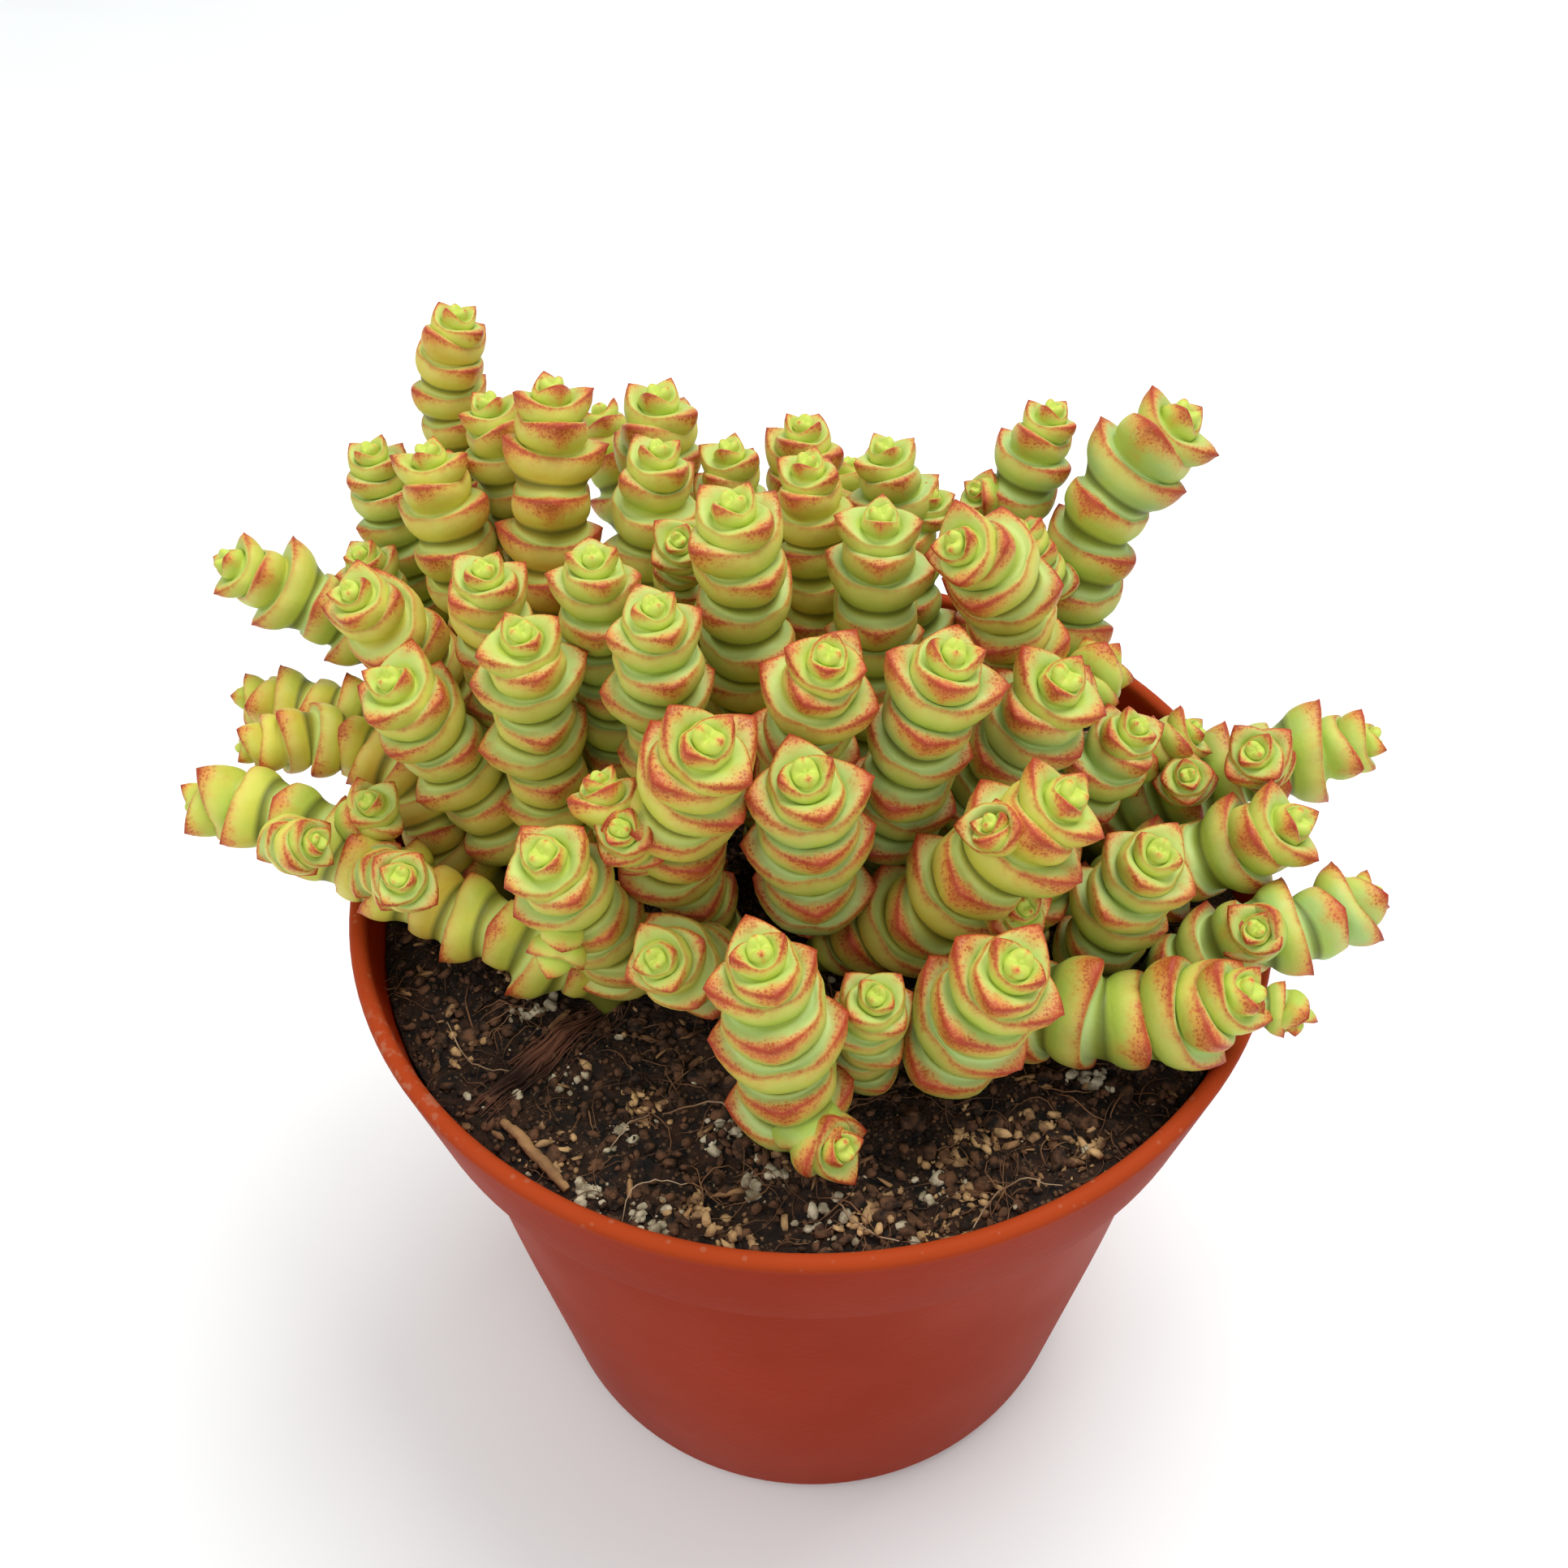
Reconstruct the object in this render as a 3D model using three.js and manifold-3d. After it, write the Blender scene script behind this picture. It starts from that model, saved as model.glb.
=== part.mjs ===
// A potted Crassula marnieriana: a terracotta-coloured plastic nursery pot, its soil,
// and a clump of leafy stems, each one a chain of opposite leaf pairs.
// Millimetres, +Z up, origin at the middle of the pot's underside, the viewer towards -Y.
import * as THREE from "three";
import { mergeVertices } from "three/addons/utils/BufferGeometryUtils.js";
import Module from "manifold-3d";

const wasm = await Module();
wasm.setup();

// Pot
const POT_HEIGHT = 85;
const RIM_RADIUS = 52.5;
const LIP_WIDTH = 2;
const COLLAR_HEIGHT = 15.4;
const COLLAR_FOOT_RADIUS = 49.3;
const BODY_TOP_RADIUS = 46.3;
const BODY_MIDDLE_BULGE = 0.4;
const FOOT_RADIUS = 37.3;
const FOOT_ROUNDING = 2;
const LIP_ROUNDING = 0.8;
const COLLAR_STEP = 0.5;
const WALL = 1.2;
const FLOOR_THICKNESS = 1.6;
const DRAIN_HOLES = 6;
const DRAIN_HOLE_RADIUS = 3.5;
const DRAIN_CIRCLE_RADIUS = 23;
const DRAIN_SEGMENTS = 10;
const POT_SEGMENTS = 32;
const COLLAR_FOOT = POT_HEIGHT - COLLAR_HEIGHT;

// Soil
const GAP = 0.3;
const SOIL_TOP = 79;
const SOIL_BUMP = 0.7;
const SOIL_SEGMENTS = 24;
const SOIL_RINGS = 3;
const SOIL_LEVEL_EDGE = 0.2;
const HOLE_DEPTH = 6;
const STALK_RADIUS = 1.8;

// Leafy stems: everything in a leaf pair is a share of the stem's leaf radius, and the
// youngest pairs, counted from the tip, are smaller and closer together
const SIDES = 8;
const HOLE_SIDES = 6;
const PAIR_PITCH = 0.88;
const YOUNG_SIZES = [0.28, 0.58, 0.86];
const YOUNG_PITCHES = [0.32, 0.45, 0.75];
const BARE_STALK = 6;
const HIDDEN_STALK = 15;
const STALK_ABOVE_SOIL = 1;
const LOWEST_PAIR_ROOM = 1.5;
const FEWEST_PAIRS = 3;
const QUARTER_TURN = Math.PI / 2;
const TWIST_PER_PAIR = THREE.MathUtils.degToRad(3);
const BUD_TOP = 0.3;
const FULL_PAIRS = 1;

// Side shoots: how much of their path is bare, and how thick they are where they start
const SHOOT_FULL_PAIRS = 0;
const SHOOT_STALK = 0.8;
const SHOOT_STALK_RADIUS = 0.42;

// One ring of a leaf pair, towards the leaf tip, halfway round, and at the seam
// between the two leaves: distance from the stem's axis, and height along it
const MARGIN = { out: [1.07, 0.9, 0.85], up: [0.24, 0.08, 0] };
const BELLY = { out: [0.86, 0.8, 0.77], up: [-0.12, -0.2, -0.24] };
const NECK = { out: [0.5, 0.6, 0.5], up: [-0.44, -0.44, -0.44] };
const ROUND = { out: [1, 1, 1], up: [0, 0, 0] };

// The leaf tips of the youngest pairs stand up more than those of the older ones
const YOUNG_UPLIFT = 1.5;

// Stems are bent clear of each other, of the soil and of the rim before they get leaves
const ROUTE_STEPS = 96;
const SETTLE_ROUNDS = 80;
const CONTACT = 0.94;
const PUSH = 0.3;
const STIFFEST_GIVE = 0.25;
const GIVE_AT_TIP = 0.1;
const SMOOTHING = 0.25;
const SOIL_CLEARANCE = 1.02;
const RIM_CLEARANCE = 1.06;
const RIM_APPROACH = 1.2;
const SLIGHT_OVERLAP = 0.002;

// Each stem: leaf radius, turn of its first pair in degrees, where it stands in the soil,
// and the points that it grows through up to its tip
const stem = (name, radius, turn, root, ...route) => {
  const bare = /rear|middle/.test(name) ? HIDDEN_STALK : BARE_STALK;
  return { name, radius, turn, bare, root, route, shoots: [] };
};
// A side shoot: its place among its stem's points counted from the tip, then as a stem
const shoot = (joint, radius, turn, ...route) => ({ joint, radius, turn, route });

const STEMS = [
  stem("stem_rear_01", 4.4, 20, [-30, 30], [-40, 35, 112], [-41.5, 36.5, 123.5], [-39, 37.5, 133]),
  stem("stem_rear_02", 5.5, 0, [-20, 14], [-28.5, 19.5, 108.5], [-28, 25.5, 131.5]),
  stem("stem_rear_03", 4.4, 30, [-36, 24], [-48, 29, 104], [-50.5, 30.5, 119.5]),
  stem("stem_rear_04", 5.2, 60, [-29, 18], [-38, 20.5, 106.5], [-41, 23.5, 124.5]),
  stem("stem_rear_05", 4.8, 15, [-24, 24], [-33, 26, 110], [-36, 28, 127]),
  stem("stem_rear_06", 5.6, 45, [-12, 26], [-17, 31, 108], [-17, 34, 125]),
  stem("stem_rear_07", 5.6, 10, [-13, 15], [-18, 19, 108], [-16.5, 20.5, 126.5]),
  stem("stem_rear_08", 4.8, 45, [-6, 22], [-9, 26, 106], [-9.5, 28, 122]),
  stem("stem_rear_09", 5.0, 45, [0, 28], [-1, 32, 104], [-1, 34, 121]),
  stem("stem_rear_10", 4.9, 40, [3, 17], [1, 18, 108], [-0.5, 19, 126]),
  stem("stem_rear_11", 5.1, 10, [14, 24], [10.5, 27, 108], [8, 28, 122]),
  stem("stem_rear_12", 5.0, 25, [22, 25], [24, 30, 108], [28, 32, 124]),
  stem("stem_rear_13", 6.0, 35, [26, 18], [29, 23, 99], [33, 26, 116], [40.5, 27, 127]),
  stem("stem_rear_14", 5.2, 0, [-16, 34], [-21.5, 45, 98], [-27, 52.5, 111.5]),
  stem("stem_rear_15", 5.2, 30, [6, 34], [4.5, 44, 96], [5, 49, 106]),
  stem("stem_middle_01", 5.8, 25, [-5, 5], [-6, 5, 105], [-7.5, 4, 131]),
  stem("stem_middle_02", 5.5, 70, [9, 9], [7, 9, 104], [7, 8, 127]),
  stem("stem_middle_03", 5.7, 55, [22, 11], [23.5, 10, 101], [19, 4.5, 121.5], [13.5, 0, 129]),
  stem("stem_middle_04", 4.9, 30, [-30, 7], [-35, 6, 104], [-34.5, 4.5, 121.5]),
  stem("stem_middle_05", 5.4, 80, [-20, 4], [-22, 4, 104], [-22.5, 3.5, 124.5]),
  stem("stem_middle_06", 5.4, 15, [-26, -3], [-28.5, -0.5, 100.5], [-28, -4, 122]),
  stem("stem_middle_07", 5.4, 10, [-14, -3], [-15, -4, 104], [-15, -6.5, 126.5]),
  stem("stem_middle_08", 6.2, 30, [-10, -9], [-11, -13, 96], [-5, -20.5, 121.5]),
  stem("stem_middle_09", 5.7, 50, [0, 4], [-1, -6, 105], [1.5, -13, 125]),
  stem("stem_middle_10", 6.2, 0, [-2, -4], [-4.5, -12.5, 95.5], [-5.5, -20, 120]),
  stem("stem_middle_11", 5.7, 60, [9, 0], [9, -5, 96], [10.5, -9, 111], [13.5, -10, 124]),
  stem("stem_middle_12", 5.8, 35, [14, 5], [17, 0, 93], [21, -4, 106], [25, -6.5, 117.5]),
  stem("stem_middle_13", 5.0, 20, [21, 3], [28, -1, 94], [34, -3.5, 108.5]),
  stem("stem_left_01", 5.2, 70, [-34, 12], [-42, 12.5, 100.5], [-48, 6.5, 118.5]),
  stem("stem_left_02", 5.4, 20, [-38, 18], [-48.5, 21, 97.5], [-58.5, 21.5, 104.5], [-66.5, 20.5, 111.5]),
  stem("stem_left_03", 5.5, 50, [-31, 2], [-38.5, 4.5, 94.5], [-43.5, 0, 113]),
  stem("stem_left_04", 4.4, 0, [-37, 8], [-46.5, 14.5, 92], [-56.5, 16, 95], [-66.5, 17, 95.5]),
  stem("stem_left_05", 4.4, 40, [-35.5, -2],
    [-42, 6.5, 93.5], [-50.5, 10, 95], [-56.5, 8, 97], [-62.5, 6.5, 96.5]),
  stem("stem_left_06", 5.1, 45, [-22, -16],
    [-31, -14, 86], [-40, -10.5, 88], [-50, -6.5, 91.5], [-59, -3, 95.5], [-68, -1.5, 95]),
  stem("stem_front_01", 5.5, 20, [-17, -12], [-19, -16.5, 92.5], [-23.5, -22.5, 110.5]),
  stem("stem_front_02", 5.3, 5, [-9, -15], [-12, -19, 88.5], [-15.5, -29, 102]),
  stem("stem_front_03", 6.4, 0, [0, -33], [-0.5, -33.5, 92.5], [-3, -35, 111]),
  stem("stem_front_04", 4.3, 30, [6, -27], [5.5, -30, 88], [6, -33, 99]),
  stem("stem_front_05", 6.4, 45, [12, -26], [13.5, -29.5, 91.5], [17.5, -34, 107]),
  stem("stem_front_06", 6.3, 45, [0, -11],
    [7, -12, 86], [12.5, -16, 93], [17.5, -19, 104], [24.5, -21, 116]),
  stem("stem_right_01", 5.5, 60, [32, 4], [44, 4, 91], [53.5, 5, 94], [63.5, 6, 97]),
  stem("stem_right_02", 5.6, 25, [30, -5], [40, -7, 89], [46, -8, 94], [51, -9.5, 99.5]),
  stem("stem_right_03", 5.4, 45, [30, -13], [31, -13, 90.5], [33.5, -16, 104]),
  stem("stem_right_04", 4.8, 15, [37, -15], [45.5, -17, 90], [53, -16, 91], [59.5, -13, 93]),
  stem("stem_right_05", 6.2, 45, [18, -20], [26, -25.5, 85.5], [35.5, -27, 87], [43, -28.5, 94.5]),
  stem("stem_right_06", 5.4, 20, [23, -8], [26, -11, 88], [28, -12, 98]),
];

// Side shoots, by the stem that they grow from
const SHOOTS = {
  stem_rear_07: [shoot(6, 3.2, 30, [-14.5, 13.5, 116.5], [-14.5, 10.5, 121.5])],
  stem_rear_12: [shoot(4, 3.0, 30, [21.5, 30, 112], [19.5, 29, 115])],
  stem_rear_13: [shoot(6, 2.9, 0, [26, 19.5, 110.5], [21.5, 20, 117])],
  stem_middle_08: [
    shoot(4, 3.2, 10, [-15, -17.5, 107.5], [-16.5, -16, 112]),
    shoot(6, 3.5, 50, [-13.5, -17.5, 104.5], [-14.5, -20.5, 109.5]),
  ],
  stem_middle_12: [shoot(3, 3.6, 20, [28.5, 3, 107], [32, 7.5, 108.5])],
  stem_middle_13: [shoot(4, 3.2, 60, [36, 3, 97], [42.5, 4, 101])],
  stem_left_02: [shoot(6, 3.6, 20, [-50, 22.5, 105.5], [-51.5, 22, 111])],
  stem_left_06: [
    shoot(4, 3.2, 20, [-55, -10, 97], [-51, -11.5, 99.5]),
    shoot(5, 3.5, 60, [-47, -4.5, 96.5], [-47.5, -5, 99]),
    shoot(6, 3.4, 40, [-42.5, -14, 96], [-42, -16, 99]),
  ],
  stem_front_01: [shoot(3, 2.7, 70, [-22.5, -24.5, 98.5], [-24, -24.5, 97.5])],
  stem_front_03: [shoot(5, 4.2, 40, [2.5, -37.5, 85], [5.5, -40, 87])],
  stem_front_06: [
    shoot(3, 3.5, 0, [18, -22, 111], [16.5, -22, 113]),
    shoot(4, 3.2, 35, [20, -21, 98.5], [21, -22.5, 101.5]),
  ],
  stem_right_01: [
    shoot(4, 3.5, 30, [49, 0, 98], [47, -2.5, 102.5]),
    shoot(6, 3.3, 0, [41, -0.5, 95.5], [40.5, -2.5, 98.5]),
  ],
  stem_right_04: [shoot(4, 3.4, 50, [46, -19, 93], [45, -20.5, 95.5])],
};
for (const parent of STEMS) parent.shoots = SHOOTS[parent.name] ?? [];

const toVector = (point) => new THREE.Vector3(...point);

// The size of a leaf pair, counted from the tip, as a share of the stem's leaf radius
const pairSize = (fromTip) => YOUNG_SIZES[fromTip] ?? 1;

// Turns a closed geometry into a solid that can be joined and cut
function toSolid(geometry) {
  const bare = geometry.index ? geometry.toNonIndexed() : geometry.clone();
  bare.deleteAttribute("normal");
  bare.deleteAttribute("uv");
  const merged = mergeVertices(bare, 1e-4);
  return new wasm.Manifold(new wasm.Mesh({
    numProp: 3,
    vertProperties: new Float32Array(merged.attributes.position.array),
    triVerts: new Uint32Array(merged.index.array),
  }));
}

// Turns a solid back into a geometry
function toGeometry(solid) {
  const mesh = solid.getMesh();
  const geometry = new THREE.BufferGeometry();
  geometry.setAttribute("position", new THREE.BufferAttribute(mesh.vertProperties, 3));
  geometry.setIndex(new THREE.BufferAttribute(mesh.triVerts, 1));
  geometry.computeVertexNormals();
  return geometry;
}

function makeMesh(name, solid, material) {
  const mesh = new THREE.Mesh(toGeometry(solid), material);
  mesh.name = name;
  return mesh;
}

// An upright plug, from one height to another
function upright(radius, x, y, bottom, top, segments) {
  const geometry = new THREE.CylinderGeometry(radius, radius, top - bottom, segments);
  geometry.rotateX(Math.PI / 2);
  geometry.translate(x, y, (bottom + top) / 2);
  return toSolid(geometry);
}

// Turns a profile of [radius, height] points about the upright axis
function turned(profile, segments) {
  const outline = profile.map(([radius, z]) => new THREE.Vector2(radius, z));
  const geometry = new THREE.LatheGeometry(outline, segments);
  geometry.rotateX(Math.PI / 2);
  return geometry;
}

// The pot's outer radius at a height below its collar
function bodyRadius(z) {
  const share = z / COLLAR_FOOT;
  const bulge = 4 * BODY_MIDDLE_BULGE * share * (1 - share);
  return THREE.MathUtils.lerp(FOOT_RADIUS, BODY_TOP_RADIUS, share) + bulge;
}

// A thin-walled pot with a stepped collar, and drain holes in its floor
function makePot() {
  const innerLip = RIM_RADIUS - LIP_WIDTH;
  const innerFoot = FLOOR_THICKNESS + FOOT_ROUNDING / 2;
  const outside = [
    [0, 0],
    [FOOT_RADIUS - FOOT_ROUNDING, 0],
    [bodyRadius(FOOT_ROUNDING), FOOT_ROUNDING],
    [bodyRadius(COLLAR_FOOT / 2), COLLAR_FOOT / 2],
    [bodyRadius(COLLAR_FOOT - COLLAR_STEP), COLLAR_FOOT - COLLAR_STEP],
    [COLLAR_FOOT_RADIUS, COLLAR_FOOT],
    [RIM_RADIUS, POT_HEIGHT - LIP_ROUNDING],
    [RIM_RADIUS - LIP_ROUNDING, POT_HEIGHT],
  ];
  const inside = [
    [innerLip + LIP_ROUNDING / 2, POT_HEIGHT],
    [innerLip, POT_HEIGHT - LIP_ROUNDING],
    [COLLAR_FOOT_RADIUS - WALL, COLLAR_FOOT + WALL],
    [bodyRadius(COLLAR_FOOT - COLLAR_STEP) - WALL, COLLAR_FOOT - COLLAR_STEP],
    [bodyRadius(COLLAR_FOOT / 2) - WALL, COLLAR_FOOT / 2],
    [bodyRadius(innerFoot) - WALL, innerFoot],
    [FOOT_RADIUS - FOOT_ROUNDING - WALL, FLOOR_THICKNESS],
    [0, FLOOR_THICKNESS],
  ];
  let pot = toSolid(turned([...outside, ...inside], POT_SEGMENTS));
  for (let i = 0; i < DRAIN_HOLES; i++) {
    const angle = ((i + 0.5) * 2 * Math.PI) / DRAIN_HOLES;
    const x = DRAIN_CIRCLE_RADIUS * Math.cos(angle);
    const y = DRAIN_CIRCLE_RADIUS * Math.sin(angle);
    pot = pot.subtract(upright(DRAIN_HOLE_RADIUS, x, y, -1, FLOOR_THICKNESS + 1, DRAIN_SEGMENTS));
  }
  return pot;
}

// Low mounds and dips of the soil's surface
function soilHeight(x, y) {
  const mounds = Math.sin(0.21 * x + 1) * Math.cos(0.17 * y);
  const ripples = 0.5 * Math.sin(0.43 * y + 0.3 * x);
  return SOIL_TOP + SOIL_BUMP * (mounds + ripples);
}

// The soil fills the pot, and each stem stands in a plain hole in it
function makeSoil() {
  const floor = FLOOR_THICKNESS + GAP;
  const clear = (wallRadius) => (wallRadius - WALL) * Math.cos(Math.PI / POT_SEGMENTS) - GAP;
  const collarShare = (SOIL_TOP - COLLAR_FOOT) / COLLAR_HEIGHT;
  const edge = clear(THREE.MathUtils.lerp(COLLAR_FOOT_RADIUS, RIM_RADIUS, collarShare) - GAP);
  const profile = [
    [0, floor],
    [clear(FOOT_RADIUS - FOOT_ROUNDING), floor],
    [clear(bodyRadius(COLLAR_FOOT / 2)), COLLAR_FOOT / 2],
    [clear(bodyRadius(COLLAR_FOOT - COLLAR_STEP)), COLLAR_FOOT - COLLAR_STEP],
  ];
  for (let ring = SOIL_RINGS; ring >= 0; ring--) profile.push([(edge * ring) / SOIL_RINGS, SOIL_TOP]);
  const geometry = turned(profile, SOIL_SEGMENTS);
  const position = geometry.attributes.position;
  for (let i = 0; i < position.count; i++) {
    if (position.getZ(i) < SOIL_TOP - GAP) continue;
    const [x, y] = [position.getX(i), position.getY(i)];
    const inwards = 1 - Math.hypot(x, y) / edge;
    const share = Math.min(1, inwards / SOIL_LEVEL_EDGE);
    position.setZ(i, THREE.MathUtils.lerp(SOIL_TOP, soilHeight(x, y), share));
  }
  let soil = toSolid(geometry);
  const holeRadius = (STALK_RADIUS + GAP) / Math.cos(Math.PI / HOLE_SIDES);
  const holeBottom = SOIL_TOP - HOLE_DEPTH - GAP;
  for (const { root: [x, y] } of STEMS) {
    soil = soil.subtract(upright(holeRadius, x, y, holeBottom, POT_HEIGHT, HOLE_SIDES));
  }
  return soil;
}

// Distances of a stem's leaf pairs from its tip, as shares of its leaf radius
function pairDistances(count) {
  const distances = [0];
  for (let i = 1; i < count; i++) {
    distances.push(distances[i - 1] + PAIR_PITCH * (YOUNG_PITCHES[i - 1] ?? 1));
  }
  return distances;
}

// The places of a stem's leaf pairs, tip first, on the smooth route through some points
function pointsFromTip(route, radius, bareLength) {
  const curve = new THREE.CatmullRomCurve3(route, false, "catmullrom", 0.5);
  const line = curve.getPoints(ROUTE_STEPS).reverse();
  const travelled = [0];
  for (let i = 1; i < line.length; i++) travelled.push(travelled[i - 1] + line[i].distanceTo(line[i - 1]));
  const leafy = travelled[line.length - 1] - bareLength;
  const older = Math.floor((leafy / radius) / PAIR_PITCH - LOWEST_PAIR_ROOM);
  const count = Math.max(FEWEST_PAIRS, older + YOUNG_SIZES.length + 1);
  let at = 1;
  return pairDistances(count).filter((share) => share * radius <= leafy).map((share) => {
    while (travelled[at] < share * radius) at++;
    const part = (share * radius - travelled[at - 1]) / (travelled[at] - travelled[at - 1]);
    return line[at - 1].clone().lerp(line[at], part);
  });
}

// How far a leaf pair, counted from the tip, gives way: little at the tip and at the foot
function give(fromTip, count) {
  const share = Math.min(1, GIVE_AT_TIP + fromTip / Math.max(1, count - 1));
  return THREE.MathUtils.lerp(STIFFEST_GIVE, 1, Math.sin(Math.PI * share) ** 2);
}

// Lifts a point off the soil, and over the rim where the stem leans out across it
function lift(point, radius) {
  const innerRim = RIM_RADIUS - LIP_WIDTH;
  const overSoil = SOIL_TOP + SOIL_BUMP + radius * SOIL_CLEARANCE;
  const overRim = POT_HEIGHT + radius * RIM_CLEARANCE;
  const reach = Math.hypot(point.x, point.y);
  const across = THREE.MathUtils.smoothstep(reach, innerRim - radius * RIM_APPROACH, innerRim);
  return Math.max(0, THREE.MathUtils.lerp(overSoil, overRim, across) - point.z);
}

// Adds up how far each leaf pair of two stems has to move for the stems to come clear
function pushApart(a, b, pushA, pushB) {
  const apart = new THREE.Vector3();
  a.points.forEach((p, i) => {
    b.points.forEach((q, j) => {
      const reach = CONTACT * (a.radius * pairSize(i) + b.radius * pairSize(j));
      apart.subVectors(p, q);
      const distance = apart.length();
      if (distance >= reach) return;
      apart.multiplyScalar((PUSH * (reach - distance)) / distance);
      pushA[i].add(apart);
      pushB[j].sub(apart);
    });
  });
}

// Pushes neighbouring stems apart until they only touch, and keeps each bend smooth
function settle(stems) {
  for (let round = 0; round < SETTLE_ROUNDS; round++) {
    const pushes = stems.map((s) => s.points.map(() => new THREE.Vector3()));
    for (let a = 0; a < stems.length; a++) {
      for (let b = a + 1; b < stems.length; b++) pushApart(stems[a], stems[b], pushes[a], pushes[b]);
    }
    stems.forEach((s, n) => {
      const shifts = s.points.map((p, i) => {
        const shift = p.clone().sub(s.start[i]).addScaledVector(pushes[n][i], give(i, s.points.length));
        shift.z += lift(s.start[i].clone().add(shift), s.radius * pairSize(i));
        return shift;
      });
      s.points.forEach((p, i) => {
        const before = shifts[Math.max(0, i - 1)];
        const after = shifts[Math.min(shifts.length - 1, i + 1)];
        p.copy(s.start[i]).addScaledVector(shifts[i], 1 - 2 * SMOOTHING);
        p.addScaledVector(before, SMOOTHING).addScaledVector(after, SMOOTHING);
      });
    });
  }
}

// Every stem with the places of its leaf pairs, before and after the stems settle
function layOut() {
  const stems = STEMS.map((source) => {
    const route = [new THREE.Vector3(...source.root, SOIL_TOP), ...source.route.map(toVector)];
    const points = pointsFromTip(route, source.radius, source.bare);
    return { ...source, points, start: points.map((p) => p.clone()) };
  });
  settle(stems);
  return stems;
}

// Carries a sideways direction along a chain of directions without twisting it
function carryFrame(tangents) {
  const side = new THREE.Vector3(1, 0, 0);
  const turn = new THREE.Quaternion();
  side.addScaledVector(tangents[0], -side.dot(tangents[0])).normalize();
  return tangents.map((tangent, i) => {
    if (i > 0) side.applyQuaternion(turn.setFromUnitVectors(tangents[i - 1], tangent));
    return { tangent, side: side.clone(), across: new THREE.Vector3().crossVectors(tangent, side) };
  });
}

// A ring of points round a stem; the leaf tips are at its first and middle points
function ring(center, frame, shape, size, angle, uplift, grow) {
  const points = [];
  for (let k = 0; k < SIDES; k++) {
    const place = k % 4 === 3 ? 1 : k % 4;
    const theta = angle + (k * 2 * Math.PI) / SIDES;
    const out = size * shape.out[place] + grow;
    const up = size * shape.up[place] * (place === 0 ? uplift : 1);
    points.push(center.clone()
      .addScaledVector(frame.side, out * Math.cos(theta))
      .addScaledVector(frame.across, out * Math.sin(theta))
      .addScaledVector(frame.tangent, up));
  }
  return points;
}

// Turns the numbering of a ring back by a quarter turn for each pair, so that rings line up
const alignRing = (points, pair) => points.map((_, k) => points[(k + (3 * SIDES / 4) * pair) % SIDES]);

// The four points of a ring between its leaf tips and its seams
const corners = (points) => points.filter((_, k) => k % 2 === 1);

// The triangles between two rings, each of eight points or of only its four corners
function band(low, high) {
  const pick = (points, k) => points[points.length === SIDES ? k % SIDES : Math.floor((k % SIDES) / 2)];
  const faces = [];
  for (let k = 0; k < SIDES; k++) {
    const [a, b] = [pick(low, k), pick(low, k + 1)];
    const [c, d] = [pick(high, k + 1), pick(high, k)];
    if (a !== b) faces.push([a, b, c]);
    if (c !== d) faces.push([a, c, d]);
  }
  return faces;
}

// One closed skin through a chain of rings, pointed at its top and flat at its foot
function skin(rings, top) {
  const [first, last] = [rings[0], rings[rings.length - 1]];
  const foot = new THREE.Vector3();
  for (const p of first) foot.addScaledVector(p, 1 / first.length);
  const faces = first.map((p, k) => [foot, first[(k + 1) % first.length], p]);
  for (let i = 1; i < rings.length; i++) faces.push(...band(rings[i - 1], rings[i]));
  last.forEach((p, k) => faces.push([p, last[(k + 1) % last.length], top]));
  return toSolid(new THREE.BufferGeometry().setFromPoints(faces.flat()));
}

// The rings of a leaf pair, from its neck up; the pairs near the tip also have a belly
function pairShapes(fromTip, fullPairs) {
  const firstFull = YOUNG_SIZES.length - 1;
  const isFull = fromTip >= firstFull && fromTip < firstFull + fullPairs;
  return isFull ? [NECK, BELLY, MARGIN] : [NECK, MARGIN];
}

// A stem's leaf pairs over its bare stalk; grow makes it that much fatter all round
function leafyStem(points, radius, turnDegrees, stalk, stalkRadius, fullPairs, grow) {
  const chain = [...points].reverse();
  const line = [...stalk, ...chain];
  const tangents = line.map((p, i) => (
    line[Math.min(line.length - 1, i + 1)].clone().sub(line[Math.max(0, i - 1)]).normalize()
  ));
  if (stalk.length > 1) tangents[0].set(0, 0, 1);
  const frames = carryFrame(tangents);
  const turn = THREE.MathUtils.degToRad(turnDegrees);
  const rings = stalk.map((p, i) => ring(p, frames[i], ROUND, stalkRadius, turn, 1, grow));
  if (stalk.length === 1) rings[0] = corners(rings[0]);
  chain.forEach((center, pair) => {
    const fromTip = chain.length - 1 - pair;
    const uplift = fromTip < YOUNG_SIZES.length ? YOUNG_UPLIFT : 1;
    const angle = turn + pair * (QUARTER_TURN + TWIST_PER_PAIR);
    const frame = frames[stalk.length + pair];
    for (const shape of pairShapes(fromTip, fullPairs)) {
      const whole = ring(center, frame, shape, radius * pairSize(fromTip), angle, uplift, grow);
      const lined = alignRing(whole, pair);
      rings.push(shape === NECK ? corners(lined) : lined);
    }
  });
  const bud = radius * pairSize(0) * BUD_TOP + grow;
  const top = line[line.length - 1].clone().addScaledVector(tangents[line.length - 1], bud);
  return skin(rings, top);
}

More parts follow.
